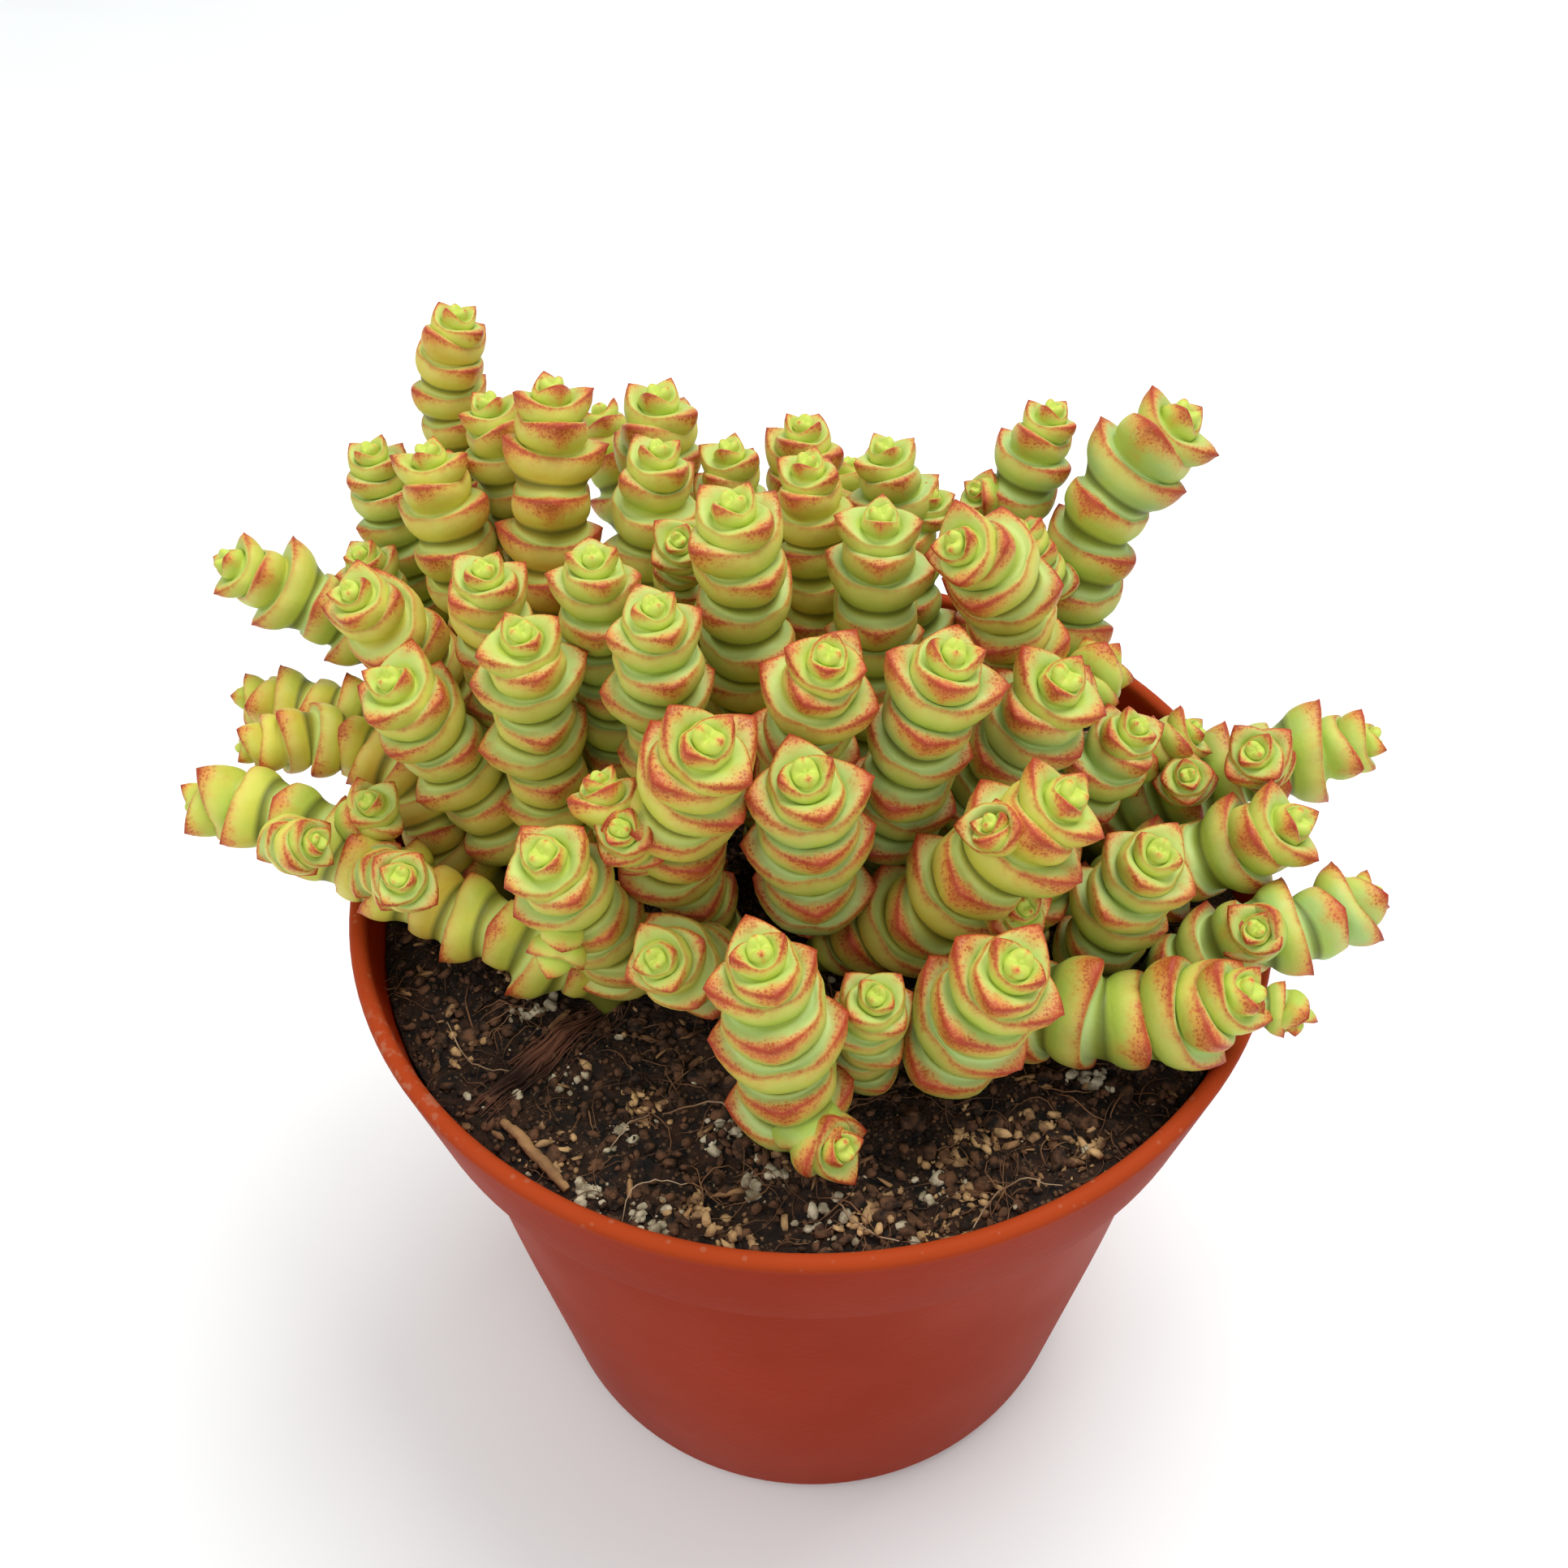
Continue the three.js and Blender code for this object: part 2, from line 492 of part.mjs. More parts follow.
// A whole stem with its side shoots fused to it
function makeStem(stem, grow = 0) {
  const foot = new THREE.Vector3(...stem.root, SOIL_TOP - HOLE_DEPTH);
  const neck = new THREE.Vector3(...stem.root, SOIL_TOP + STALK_ABOVE_SOIL);
  let solid = leafyStem(stem.points, stem.radius, stem.turn, [foot, neck], STALK_RADIUS, FULL_PAIRS, grow);
  for (const { joint, radius, turn, route } of stem.shoots) {
    const shift = stem.points[joint].clone().sub(stem.start[joint]);
    const path = [stem.start[joint].clone(), ...route.map(toVector)].map((p) => p.add(shift));
    const points = pointsFromTip(path, radius, stem.radius * SHOOT_STALK);
    const thickness = radius * SHOOT_STALK_RADIUS;
    solid = solid.add(leafyStem(points, radius, turn, [path[0]], thickness, SHOOT_FULL_PAIRS, grow));
  }
  return solid;
}

// Keeps the largest body of a solid and drops loose scraps
function largest(solid) {
  return solid.decompose().sort((a, b) => b.volume() - a.volume())[0];
}

// Where two stems still press on each other, the later one gives way
function trimmed(stems) {
  const solids = stems.map((s) => makeStem(s));
  for (let b = 1; b < solids.length; b++) {
    for (let a = 0; a < b; a++) {
      for (const grow of [GAP, 2 * GAP, 3 * GAP]) {
        if (solids[a].intersect(solids[b]).volume() < SLIGHT_OVERLAP) break;
        solids[b] = largest(solids[b].subtract(makeStem(stems[a], grow)));
      }
    }
  }
  return solids;
}

const finish = (color, roughness) => new THREE.MeshStandardMaterial({ color, roughness, metalness: 0 });
const potPlastic = finish(0xa8452c, 0.45);
const soilBlack = finish(0x2a1c14, 0.95);
const leafGreen = finish(0xb9c766, 0.5);

const plant = new THREE.Group();
plant.add(makeMesh("pot", makePot(), potPlastic));
plant.add(makeMesh("soil", makeSoil(), soilBlack));
const stems = layOut();
trimmed(stems).forEach((solid, i) => plant.add(makeMesh(stems[i].name, solid, leafGreen)));

export default plant;
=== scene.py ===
"""A potted Crassula marnieriana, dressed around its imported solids.

A terracotta-coloured plastic nursery pot holds dark potting soil, and a clump of leafy stems
stands in the soil, each stem a chain of opposite leaf pairs. Places and sizes are written in
millimetres and turned into metres where a mesh is made; +Z is up and the viewer is towards -Y.
"""

import logging
import math
import random
from collections.abc import Iterable
from dataclasses import dataclass, field
from enum import Enum

import bmesh
import bpy
import numpy as np
from mathutils import Matrix, Quaternion, Vector, noise


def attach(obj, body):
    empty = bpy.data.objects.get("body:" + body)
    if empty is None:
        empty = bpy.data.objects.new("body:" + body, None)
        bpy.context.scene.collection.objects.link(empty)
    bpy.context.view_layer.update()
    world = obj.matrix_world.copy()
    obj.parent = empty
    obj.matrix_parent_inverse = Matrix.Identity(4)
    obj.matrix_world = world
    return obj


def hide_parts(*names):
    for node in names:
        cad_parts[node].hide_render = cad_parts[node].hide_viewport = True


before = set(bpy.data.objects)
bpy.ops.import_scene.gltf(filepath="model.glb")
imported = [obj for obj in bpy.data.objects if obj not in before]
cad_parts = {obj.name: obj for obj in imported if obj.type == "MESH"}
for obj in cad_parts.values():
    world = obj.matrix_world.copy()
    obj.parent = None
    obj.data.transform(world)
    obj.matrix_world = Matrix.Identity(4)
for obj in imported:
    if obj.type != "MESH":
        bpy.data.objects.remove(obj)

LOG = logging.getLogger("potted_crassula")
MM = 0.001
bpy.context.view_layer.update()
IMAGE_SIDE = 1932

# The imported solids' own sizes, which the layout of the stems depends on
POT_HEIGHT = 85.0
RIM_RADIUS = 52.5
LIP_WIDTH = 2.0
SOIL_TOP = 79.0
SOIL_BUMP = 0.7
HOLE_DEPTH = 6.0
NECK_HEIGHT = 1.0
STALK_RADIUS = 1.8
BARE_INSIDE = 15.0
BARE_AT_EDGE = 6.0

WELD_DISTANCE = 1e-6
NEARLY_ZERO = 1e-9

Point = tuple[float, ...]
Colour = tuple[int, int, int]
Socket = bpy.types.NodeSocket


class Tint(Enum):
    """How a stem is coloured: warmth near its tip, warmth lower down, redness of its edges."""

    LIME = (0.15, 0.3, 0.15)
    GREEN = (0.15, 0.05, 0.75)
    GOLD = (0.3, 0.6, 0.35)
    ORANGE = (0.55, 0.85, 0.5)
    ROSE = (0.3, 0.75, 1.0)
    BLUSH = (0.15, 0.25, 1.1)
    RED = (0.7, 0.9, 1.3)


@dataclass(frozen=True)
class ShootPlan:
    """A side shoot: the leaf pair that it grows from, counted from the tip, then as a stem."""

    joint: int
    radius: float
    turn: float
    route: tuple[Point, ...]


@dataclass(frozen=True)
class StemPlan:
    """A stem: leaf radius, turn of its lowest pair, its place in the soil and its way up."""

    name: str
    radius: float
    turn: float
    root: Point
    route: tuple[Point, ...]
    tint: Tint
    shoots: tuple[ShootPlan, ...] = ()

    @property
    def bare(self) -> float:
        """Length of stalk that the solids leave bare."""
        return BARE_INSIDE if self.name.startswith(("rear", "middle")) else BARE_AT_EDGE

    @property
    def neck(self) -> np.ndarray:
        """The place just over the soil where the stalk comes out of it."""
        return np.array([*self.root, SOIL_TOP + NECK_HEIGHT])


def shoot(joint: int, radius: float, turn: float, *route: Point) -> ShootPlan:
    """Writes a side shoot's row of the table below."""
    return ShootPlan(joint, radius, turn, route)


SHOOTS: dict[str, tuple[ShootPlan, ...]] = {
    "rear_07": (shoot(6, 3.2, 30, (-14.5, 13.5, 116.5), (-14.5, 10.5, 121.5)),),
    "rear_12": (shoot(4, 3.0, 30, (21.5, 30, 112), (19.5, 29, 115)),),
    "rear_13": (shoot(6, 2.9, 0, (26, 19.5, 110.5), (21.5, 20, 117)),),
    "middle_08": (
        shoot(4, 3.2, 10, (-15, -17.5, 107.5), (-16.5, -16, 112)),
        shoot(6, 3.5, 50, (-13.5, -17.5, 104.5), (-14.5, -20.5, 109.5)),
    ),
    "middle_12": (shoot(3, 3.6, 20, (28.5, 3, 107), (32, 7.5, 108.5)),),
    "middle_13": (shoot(4, 3.2, 60, (36, 3, 97), (42.5, 4, 101)),),
    "left_02": (shoot(6, 3.6, 20, (-50, 22.5, 105.5), (-51.5, 22, 111)),),
    "left_06": (
        shoot(4, 3.2, 20, (-55, -10, 97), (-51, -11.5, 99.5)),
        shoot(5, 3.5, 60, (-47, -4.5, 96.5), (-47.5, -5, 99)),
        shoot(6, 3.4, 40, (-42.5, -14, 96), (-42, -16, 99)),
    ),
    "front_01": (shoot(3, 2.7, 70, (-22.5, -24.5, 98.5), (-24, -24.5, 97.5)),),
    "front_03": (shoot(5, 4.2, 40, (2.5, -37.5, 85), (5.5, -40, 87)),),
    "front_06": (
        shoot(3, 3.5, 0, (18, -22, 111), (16.5, -22, 113)),
        shoot(4, 3.2, 35, (20, -21, 98.5), (21, -22.5, 101.5)),
    ),
    "right_01": (
        shoot(4, 3.5, 30, (49, 0, 98), (47, -2.5, 102.5)),
        shoot(6, 3.3, 0, (41, -0.5, 95.5), (40.5, -2.5, 98.5)),
    ),
    "right_04": (shoot(4, 3.4, 50, (46, -19, 93), (45, -20.5, 95.5)),),
}

# Buds just breaking from a stem, too small for the solids
EARLY_BUDS: dict[str, tuple[ShootPlan, ...]] = {
    "rear_11": (shoot(3, 3.2, 20, (13, 27.5, 111.5), (13.5, 27, 116)),),
    "right_05": (shoot(3, 2.5, 30, (47, -27.5, 89.5), (47.5, -29, 88)),),
}


def stem(name: str, tint: Tint, radius: float, turn: float, root: Point, *route: Point) -> StemPlan:
    """Writes a stem's row of the table below."""
    return StemPlan(name, radius, turn, root, route, tint, SHOOTS.get(name, ()))


STEMS: tuple[StemPlan, ...] = (
    stem("rear_01", Tint.ORANGE, 4.4, 20, (-30, 30),
         (-40, 35, 112), (-41.5, 36.5, 123.5), (-39, 37.5, 133)),
    stem("rear_02", Tint.RED, 5.5, 0, (-20, 14), (-28.5, 19.5, 108.5), (-28, 25.5, 131.5)),
    stem("rear_03", Tint.LIME, 4.4, 30, (-36, 24), (-48, 29, 104), (-50.5, 30.5, 119.5)),
    stem("rear_04", Tint.ORANGE, 5.2, 60, (-29, 18), (-38, 20.5, 106.5), (-41, 23.5, 124.5)),
    stem("rear_05", Tint.GOLD, 4.8, 15, (-24, 24), (-33, 26, 110), (-36, 28, 127)),
    stem("rear_06", Tint.GOLD, 5.6, 45, (-12, 26), (-17, 31, 108), (-17, 34, 125)),
    stem("rear_07", Tint.GOLD, 5.6, 10, (-13, 15), (-18, 19, 108), (-16.5, 20.5, 126.5)),
    stem("rear_08", Tint.GOLD, 4.8, 45, (-6, 22), (-9, 26, 106), (-9.5, 28, 122)),
    stem("rear_09", Tint.ORANGE, 5.0, 45, (0, 28), (-1, 32, 104), (-1, 34, 121)),
    stem("rear_10", Tint.ORANGE, 4.9, 40, (3, 17), (1, 18, 108), (-0.5, 19, 126)),
    stem("rear_11", Tint.LIME, 5.1, 10, (14, 24), (10.5, 27, 108), (8, 28, 122)),
    stem("rear_12", Tint.GREEN, 5.0, 25, (22, 25), (24, 30, 108), (28, 32, 124)),
    stem("rear_13", Tint.GREEN, 6.0, 35, (26, 18), (29, 23, 99), (33, 26, 116), (40.5, 27, 127)),
    stem("rear_14", Tint.GREEN, 5.2, 0, (-16, 34), (-21.5, 45, 98), (-27, 52.5, 111.5)),
    stem("rear_15", Tint.GOLD, 5.2, 30, (6, 34), (4.5, 44, 96), (5, 49, 106)),
    stem("middle_01", Tint.GOLD, 5.8, 25, (-5, 5), (-6, 5, 105), (-7.5, 4, 131)),
    stem("middle_02", Tint.LIME, 5.5, 70, (9, 9), (7, 9, 104), (7, 8, 127)),
    stem("middle_03", Tint.ROSE, 5.7, 55, (22, 11), (23.5, 10, 101), (19, 4.5, 121.5), (13.5, 0, 129)),
    stem("middle_04", Tint.GOLD, 4.9, 30, (-30, 7), (-35, 6, 104), (-34.5, 4.5, 121.5)),
    stem("middle_05", Tint.LIME, 5.4, 80, (-20, 4), (-22, 4, 104), (-22.5, 3.5, 124.5)),
    stem("middle_06", Tint.GOLD, 5.4, 15, (-26, -3), (-28.5, -0.5, 100.5), (-28, -4, 122)),
    stem("middle_07", Tint.GOLD, 5.4, 10, (-14, -3), (-15, -4, 104), (-15, -6.5, 126.5)),
    stem("middle_08", Tint.ROSE, 6.2, 30, (-10, -9), (-11, -13, 96), (-5, -20.5, 121.5)),
    stem("middle_09", Tint.ROSE, 5.7, 50, (0, 4), (-1, -6, 105), (1.5, -13, 125)),
    stem("middle_10", Tint.GREEN, 6.2, 0, (-2, -4), (-4.5, -12.5, 95.5), (-5.5, -20, 120)),
    stem("middle_11", Tint.GREEN, 5.7, 60, (9, 0), (9, -5, 96), (10.5, -9, 111), (13.5, -10, 124)),
    stem("middle_12", Tint.GREEN, 5.8, 35, (14, 5), (17, 0, 93), (21, -4, 106), (25, -6.5, 117.5)),
    stem("middle_13", Tint.GREEN, 5.0, 20, (21, 3), (28, -1, 94), (34, -3.5, 108.5)),
    stem("left_01", Tint.ORANGE, 5.2, 70, (-34, 12), (-42, 12.5, 100.5), (-48, 6.5, 118.5)),
    stem("left_02", Tint.GOLD, 5.4, 20, (-38, 18),
         (-48.5, 21, 97.5), (-58.5, 21.5, 104.5), (-66.5, 20.5, 111.5)),
    stem("left_03", Tint.GOLD, 5.5, 50, (-31, 2), (-38.5, 4.5, 94.5), (-43.5, 0, 113)),
    stem("left_04", Tint.ORANGE, 4.4, 0, (-37, 8), (-46.5, 14.5, 92), (-56.5, 16, 95), (-66.5, 17, 95.5)),
    stem("left_05", Tint.ORANGE, 4.4, 40, (-35.5, -2),
         (-42, 6.5, 93.5), (-50.5, 10, 95), (-56.5, 8, 97), (-62.5, 6.5, 96.5)),
    stem("left_06", Tint.GOLD, 5.1, 45, (-22, -16),
         (-31, -14, 86), (-40, -10.5, 88), (-50, -6.5, 91.5), (-59, -3, 95.5), (-68, -1.5, 95)),
    stem("front_01", Tint.GOLD, 5.5, 20, (-17, -12), (-19, -16.5, 92.5), (-23.5, -22.5, 110.5)),
    stem("front_02", Tint.GOLD, 5.3, 5, (-9, -15), (-12, -19, 88.5), (-15.5, -29, 102)),
    stem("front_03", Tint.BLUSH, 6.4, 0, (0, -33), (-0.5, -33.5, 92.5), (-3, -35, 111)),
    stem("front_04", Tint.LIME, 4.3, 30, (6, -27), (5.5, -30, 88), (6, -33, 99)),
    stem("front_05", Tint.BLUSH, 6.4, 45, (12, -26), (13.5, -29.5, 91.5), (17.5, -34, 107)),
    stem("front_06", Tint.ROSE, 6.3, 45, (0, -11),
         (7, -12, 86), (12.5, -16, 93), (17.5, -19, 104), (24.5, -21, 116)),
    stem("right_01", Tint.GREEN, 5.5, 60, (32, 4), (44, 4, 91), (53.5, 5, 94), (63.5, 6, 97)),
    stem("right_02", Tint.GREEN, 5.6, 25, (30, -5), (40, -7, 89), (46, -8, 94), (51, -9.5, 99.5)),
    stem("right_03", Tint.LIME, 5.4, 45, (30, -13), (31, -13, 90.5), (33.5, -16, 104)),
    stem("right_04", Tint.GREEN, 4.8, 15, (37, -15), (45.5, -17, 90), (53, -16, 91), (59.5, -13, 93)),
    stem("right_05", Tint.BLUSH, 6.2, 45, (18, -20),
         (26, -25.5, 85.5), (35.5, -27, 87), (43, -28.5, 94.5)),
    stem("right_06", Tint.GOLD, 5.4, 20, (23, -8), (26, -11, 88), (28, -12, 98)),
)


def smoothstep(value: np.ndarray, low: np.ndarray, high: np.ndarray) -> np.ndarray:
    """A soft step from 0 at low to 1 at high."""
    share = np.clip((value - low) / (high - low), 0.0, 1.0)
    return share * share * (3.0 - 2.0 * share)


def soil_height(x: float, y: float) -> float:
    """Height of the soil's low mounds and dips, in millimetres."""
    mounds = math.sin(0.21 * x + 1.0) * math.cos(0.17 * y)
    ripples = 0.5 * math.sin(0.43 * y + 0.3 * x)
    return SOIL_TOP + SOIL_BUMP * (mounds + ripples)


def smooth_curve(route: np.ndarray, steps: int) -> np.ndarray:
    """Points along the smooth curve through a route's points.

    Args:
        route: the points that the curve passes through.
        steps: the number of steps along it.

    Returns:
        The points of a uniform Catmull-Rom curve, from its start to its end.
    """
    knots = np.vstack([2 * route[0] - route[1], route, 2 * route[-1] - route[-2]])
    at = np.linspace(0.0, len(route) - 1, steps + 1)
    index = np.minimum(at.astype(int), len(route) - 2)
    t = (at - index)[:, None]
    p0, p1, p2, p3 = (knots[index + k] for k in range(4))
    leave, arrive = (p2 - p0) / 2, (p3 - p1) / 2
    bend = -3 * p1 + 3 * p2 - 2 * leave - arrive
    twist = 2 * p1 - 2 * p2 + leave + arrive
    return p1 + leave * t + bend * t**2 + twist * t**3


def swelling(share: float, at_ends: float) -> float:
    """What is 1 half-way along a strand, and at_ends at both of its ends."""
    return at_ends + (1.0 - at_ends) * math.sin(math.pi * share)


def either_way(rng: random.Random, most: float) -> float:
    """A random number from -most to most."""
    return rng.uniform(-most, most)


@dataclass
class GrownStem:
    """A stem with the places of its leaf pairs, tip first, in millimetres.

    start holds the places before the stems pushed each other aside, and older the hidden
    pairs further down the stalk as (place, share of the leaf radius).
    """

    plan: StemPlan
    points: np.ndarray
    start: np.ndarray
    older: list[tuple[np.ndarray, float]] = field(default_factory=list)


@dataclass
class Clump:
    """Lays out every stem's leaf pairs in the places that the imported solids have."""

    pitch: float = 0.88
    young_sizes: tuple[float, ...] = (0.28, 0.58, 0.86)
    young_pitches: tuple[float, ...] = (0.32, 0.45, 0.75)
    lowest_pair_room: float = 1.5
    fewest_pairs: int = 3
    route_steps: int = 96
    rounds: int = 80
    contact: float = 0.94
    push: float = 0.3
    stiffest_give: float = 0.25
    give_at_tip: float = 0.1
    smoothing: float = 0.25
    soil_clearance: float = 1.02
    rim_clearance: float = 1.06
    rim_approach: float = 1.2
    older_foot_room: float = 0.4
    older_room: float = 0.54
    older_sizes: tuple[float, float] = (0.45, 0.92)

    def pair_size(self, from_tip: int) -> float:
        """Size of a leaf pair, counted from the tip, as a share of the leaf radius."""
        return self.young_sizes[from_tip] if from_tip < len(self.young_sizes) else 1.0

    def from_tip(self, route: np.ndarray, radius: float, bare: float) -> np.ndarray:
        """Places of the leaf pairs, tip first, on the smooth curve through some points.

        Args:
            route: the points from the foot to the tip.
            radius: the leaf radius.
            bare: the length at the foot that carries no pairs.

        Returns:
            One place for each leaf pair.
        """
        line = smooth_curve(route, self.route_steps)[::-1]
        steps = np.linalg.norm(np.diff(line, axis=0), axis=1)
        travelled = np.concatenate([[0.0], np.cumsum(steps)])
        leafy = travelled[-1] - bare
        older = math.floor(leafy / radius / self.pitch - self.lowest_pair_room)
        count = max(self.fewest_pairs, older + len(self.young_sizes) + 1)
        gaps = list(self.young_pitches) + [1.0] * count
        shares = self.pitch * np.concatenate([[0.0], np.cumsum(gaps)])[:count]
        kept = shares[shares * radius <= leafy] * radius
        return np.stack([np.interp(kept, travelled, line[:, axis]) for axis in range(3)], axis=1)

    def lift(self, points: np.ndarray, radii: np.ndarray) -> np.ndarray:
        """How far points have to rise to clear the soil, and the rim where they cross it.

        Args:
            points: the places of leaf pairs.
            radii: the room that each needs round it.

        Returns:
            The rise of each point, 0 where it is clear.
        """
        inner_rim = RIM_RADIUS - LIP_WIDTH
        reach = np.hypot(points[:, 0], points[:, 1])
        across = smoothstep(reach, inner_rim - radii * self.rim_approach, np.full_like(radii, inner_rim))
        over_soil = SOIL_TOP + SOIL_BUMP + radii * self.soil_clearance
        over_rim = POT_HEIGHT + radii * self.rim_clearance
        return np.maximum(0.0, over_soil + (over_rim - over_soil) * across - points[:, 2])

    def settle(self, stems: list[GrownStem]) -> None:
        """Pushes neighbouring stems apart until they only touch, and keeps each bend smooth.

        Args:
            stems: all the stems, whose points are moved.
        """
        counts = [len(s.points) for s in stems]
        owner = np.repeat(np.arange(len(stems)), counts)
        rank = np.concatenate([np.arange(count) for count in counts])
        last = np.repeat(counts, counts) - 1
        sizes = np.array([self.pair_size(k) for k in rank])
        radii = sizes * np.repeat([s.plan.radius for s in stems], counts)
        share = np.minimum(1.0, self.give_at_tip + rank / np.maximum(1, last))
        give = self.stiffest_give + (1 - self.stiffest_give) * np.sin(np.pi * share) ** 2
        index = np.arange(len(rank))
        before, after = index - (rank > 0), index + (rank < last)
        reach = self.contact * (radii[:, None] + radii[None, :])
        reach[owner[:, None] == owner[None, :]] = 0.0
        start = np.concatenate([s.start for s in stems])
        points = start.copy()
        for _ in range(self.rounds):
            apart = points[:, None] - points[None, :]
            distance = np.linalg.norm(apart, axis=2)
            overlap = np.maximum(0.0, reach - distance)
            strength = self.push * overlap / np.maximum(distance, NEARLY_ZERO)
            pushes = (apart * strength[:, :, None]).sum(axis=1)
            shift = points - start + pushes * give[:, None]
            shift[:, 2] += self.lift(start + shift, radii)
            smooth = self.smoothing
            points = start + (1 - 2 * smooth) * shift + smooth * (shift[before] + shift[after])
        for number, grown in enumerate(stems):
            grown.points = points[owner == number]

    def add_older(self, stems: list[GrownStem]) -> None:
        """Carries the leaf pairs on down each stalk, as wide as the neighbours leave room for.

        Args:
            stems: all the settled stems, which get their older pairs.
        """
        for grown in stems:
            top, radius = grown.points[-1], grown.plan.radius
            down = grown.plan.neck - top
            length = float(np.linalg.norm(down))
            step = self.pitch * radius
            count = max(0, int((length - self.older_foot_room * radius) / step))
            grown.older = [(top + down * (step * (k + 1) / length), 1.0) for k in range(count)]
        low, high = self.older_sizes
        for grown in stems:
            others = [s for s in stems if s is not grown]
            taken = np.array([place for s in others for place in [*s.points, *(p for p, _ in s.older)]])
            sized = []
            for place, _ in grown.older:
                room = float(np.linalg.norm(taken - place, axis=1).min())
                share = self.older_room * room / grown.plan.radius
                sized.append((place, min(high, max(low, share))))
            grown.older = sized

    def grow(self) -> list[GrownStem]:
        """Lays out all the stems of the table.

        Returns:
            The stems in the table's order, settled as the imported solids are.
        """
        stems = []
        for plan in STEMS:
            route = np.array([(*plan.root, SOIL_TOP), *plan.route], float)
            points = self.from_tip(route, plan.radius, plan.bare)
            stems.append(GrownStem(plan, points, points.copy()))
        self.settle(stems)
        self.add_older(stems)
        return stems


def linear(colour: Colour) -> tuple[float, float, float, float]:
    """A colour as a screen shows it, from 0 to 255, as the shaders read it."""
    shares = [part / 255 for part in colour]
    return (*[s / 12.92 if s <= 0.04045 else ((s + 0.055) / 1.055) ** 2.4 for s in shares], 1.0)


class Wiring:
    """Adds nodes to the tree of a material or a node group, and links them."""

    def __init__(self, tree: bpy.types.NodeTree) -> None:
        """Keeps the tree that the nodes go into."""
        self.tree = tree

    def add(self, kind: str, inputs: dict | None = None, **settings: object) -> bpy.types.Node:
        """Adds one node.

        Args:
            kind: the node's type, without the ShaderNode before it.
            inputs: socket name or number to a value, or to the output that feeds it.
            settings: the node's own properties.

        Returns:
            The new node.
        """
        node = self.tree.nodes.new(f"ShaderNode{kind}")
        for name, value in settings.items():
            setattr(node, name, value)
        for key, value in (inputs or {}).items():
            self.feed(node.inputs[key], value)
        return node

    def feed(self, socket: Socket, value: object) -> None:
        """Links an output to a socket, or sets the socket to a plain value.

        Args:
            socket: the input.
            value: the output that feeds it, or its value.
        """
        if isinstance(value, Socket):
            self.tree.links.new(value, socket)
        else:
            socket.default_value = value

    def place(self) -> Socket:
        """The Object coordinates."""
        return self.add("TexCoord").outputs["Object"]

    def attribute(self, name: str) -> Socket:
        """One of the mesh's own numbers."""
        return self.add("Attribute", attribute_name=name).outputs["Fac"]

    def maths(self, operation: str, *values: object, clamp: bool = False) -> Socket:
        """A sum, product or the like of its values."""
        inputs = dict(enumerate(values))
        return self.add("Math", inputs, operation=operation, use_clamp=clamp).outputs[0]

    def ramp(self, value: object, low: float, high: float, to: tuple[float, float] = (0.0, 1.0)) -> Socket:
        """A soft step of value from low to high."""
        inputs = {"Value": value, "From Min": low, "From Max": high, "To Min": to[0], "To Max": to[1]}
        return self.add("MapRange", inputs, interpolation_type="SMOOTHSTEP").outputs["Result"]

    def mix(self, share: object, first: object, second: object) -> Socket:
        """A colour between two others.

        Args:
            share: how much it takes of the second colour.
            first: the colour at 0.
            second: the colour at 1.

        Returns:
            The mixed colour.
        """
        node = self.add("Mix", data_type="RGBA")
        sockets = {"Factor_Float": share, "A_Color": first, "B_Color": second}
        for socket in node.inputs:
            if socket.identifier in sockets:
                self.feed(socket, sockets[socket.identifier])
        return next(s for s in node.outputs if s.identifier == "Result_Color")

    def noise(self, scale: object, detail: float = 2.0, place: object = None) -> Socket:
        """Cloudy values round a half, scale of them to a metre."""
        inputs = {"Vector": place or self.place(), "Scale": scale, "Detail": detail}
        return self.add("TexNoise", inputs).outputs["Fac"]

    def group(self, group: bpy.types.NodeTree, inputs: dict, output: str) -> Socket:
        """Places a node group with its own values.

        Args:
            group: the node group.
            inputs: socket name to a value, or to the output that feeds it.
            output: the name of the output that is used.

        Returns:
            That output.
        """
        node = self.tree.nodes.new("ShaderNodeGroup")
        node.node_tree = group
        for key, value in inputs.items():
            self.feed(node.inputs[key], value)
        return node.outputs[output]


def new_group(name: str, inputs: dict[str, float | None],
              outputs: Iterable[str]) -> tuple[Wiring, dict, dict]:
    """Starts a node group.

    Args:
        name: the group's name.
        inputs: each input's value, or None for the place on the surface.
        outputs: the names of the values that it puts out.

    Returns:
        The wiring of its tree, its input sockets and its output sockets, by name.
    """
    tree = bpy.data.node_groups.new(name, "ShaderNodeTree")
    for key, value in inputs.items():
        kind = "NodeSocketVector" if value is None else "NodeSocketFloat"
        socket = tree.interface.new_socket(key, in_out="INPUT", socket_type=kind)
        if value is not None:
            socket.default_value = value
    for key in outputs:
        tree.interface.new_socket(key, in_out="OUTPUT", socket_type="NodeSocketFloat")
    entry, leave = tree.nodes.new("NodeGroupInput"), tree.nodes.new("NodeGroupOutput")
    return Wiring(tree), {s.name: s for s in entry.outputs}, {s.name: s for s in leave.inputs}


class Effect(Enum):
    """The surface effects that several finishes share."""

    GRAIN = "fine_grain"
    SPECKLES = "speckles"
    CLOUDS = "clouds"

    def group(self) -> bpy.types.NodeTree:
        """The effect's node group, built at its first use."""
        made = bpy.data.node_groups.get(self.value)
        return made or {
            Effect.GRAIN: build_grain,
            Effect.SPECKLES: build_speckles,
            Effect.CLOUDS: build_clouds,
        }[self]()


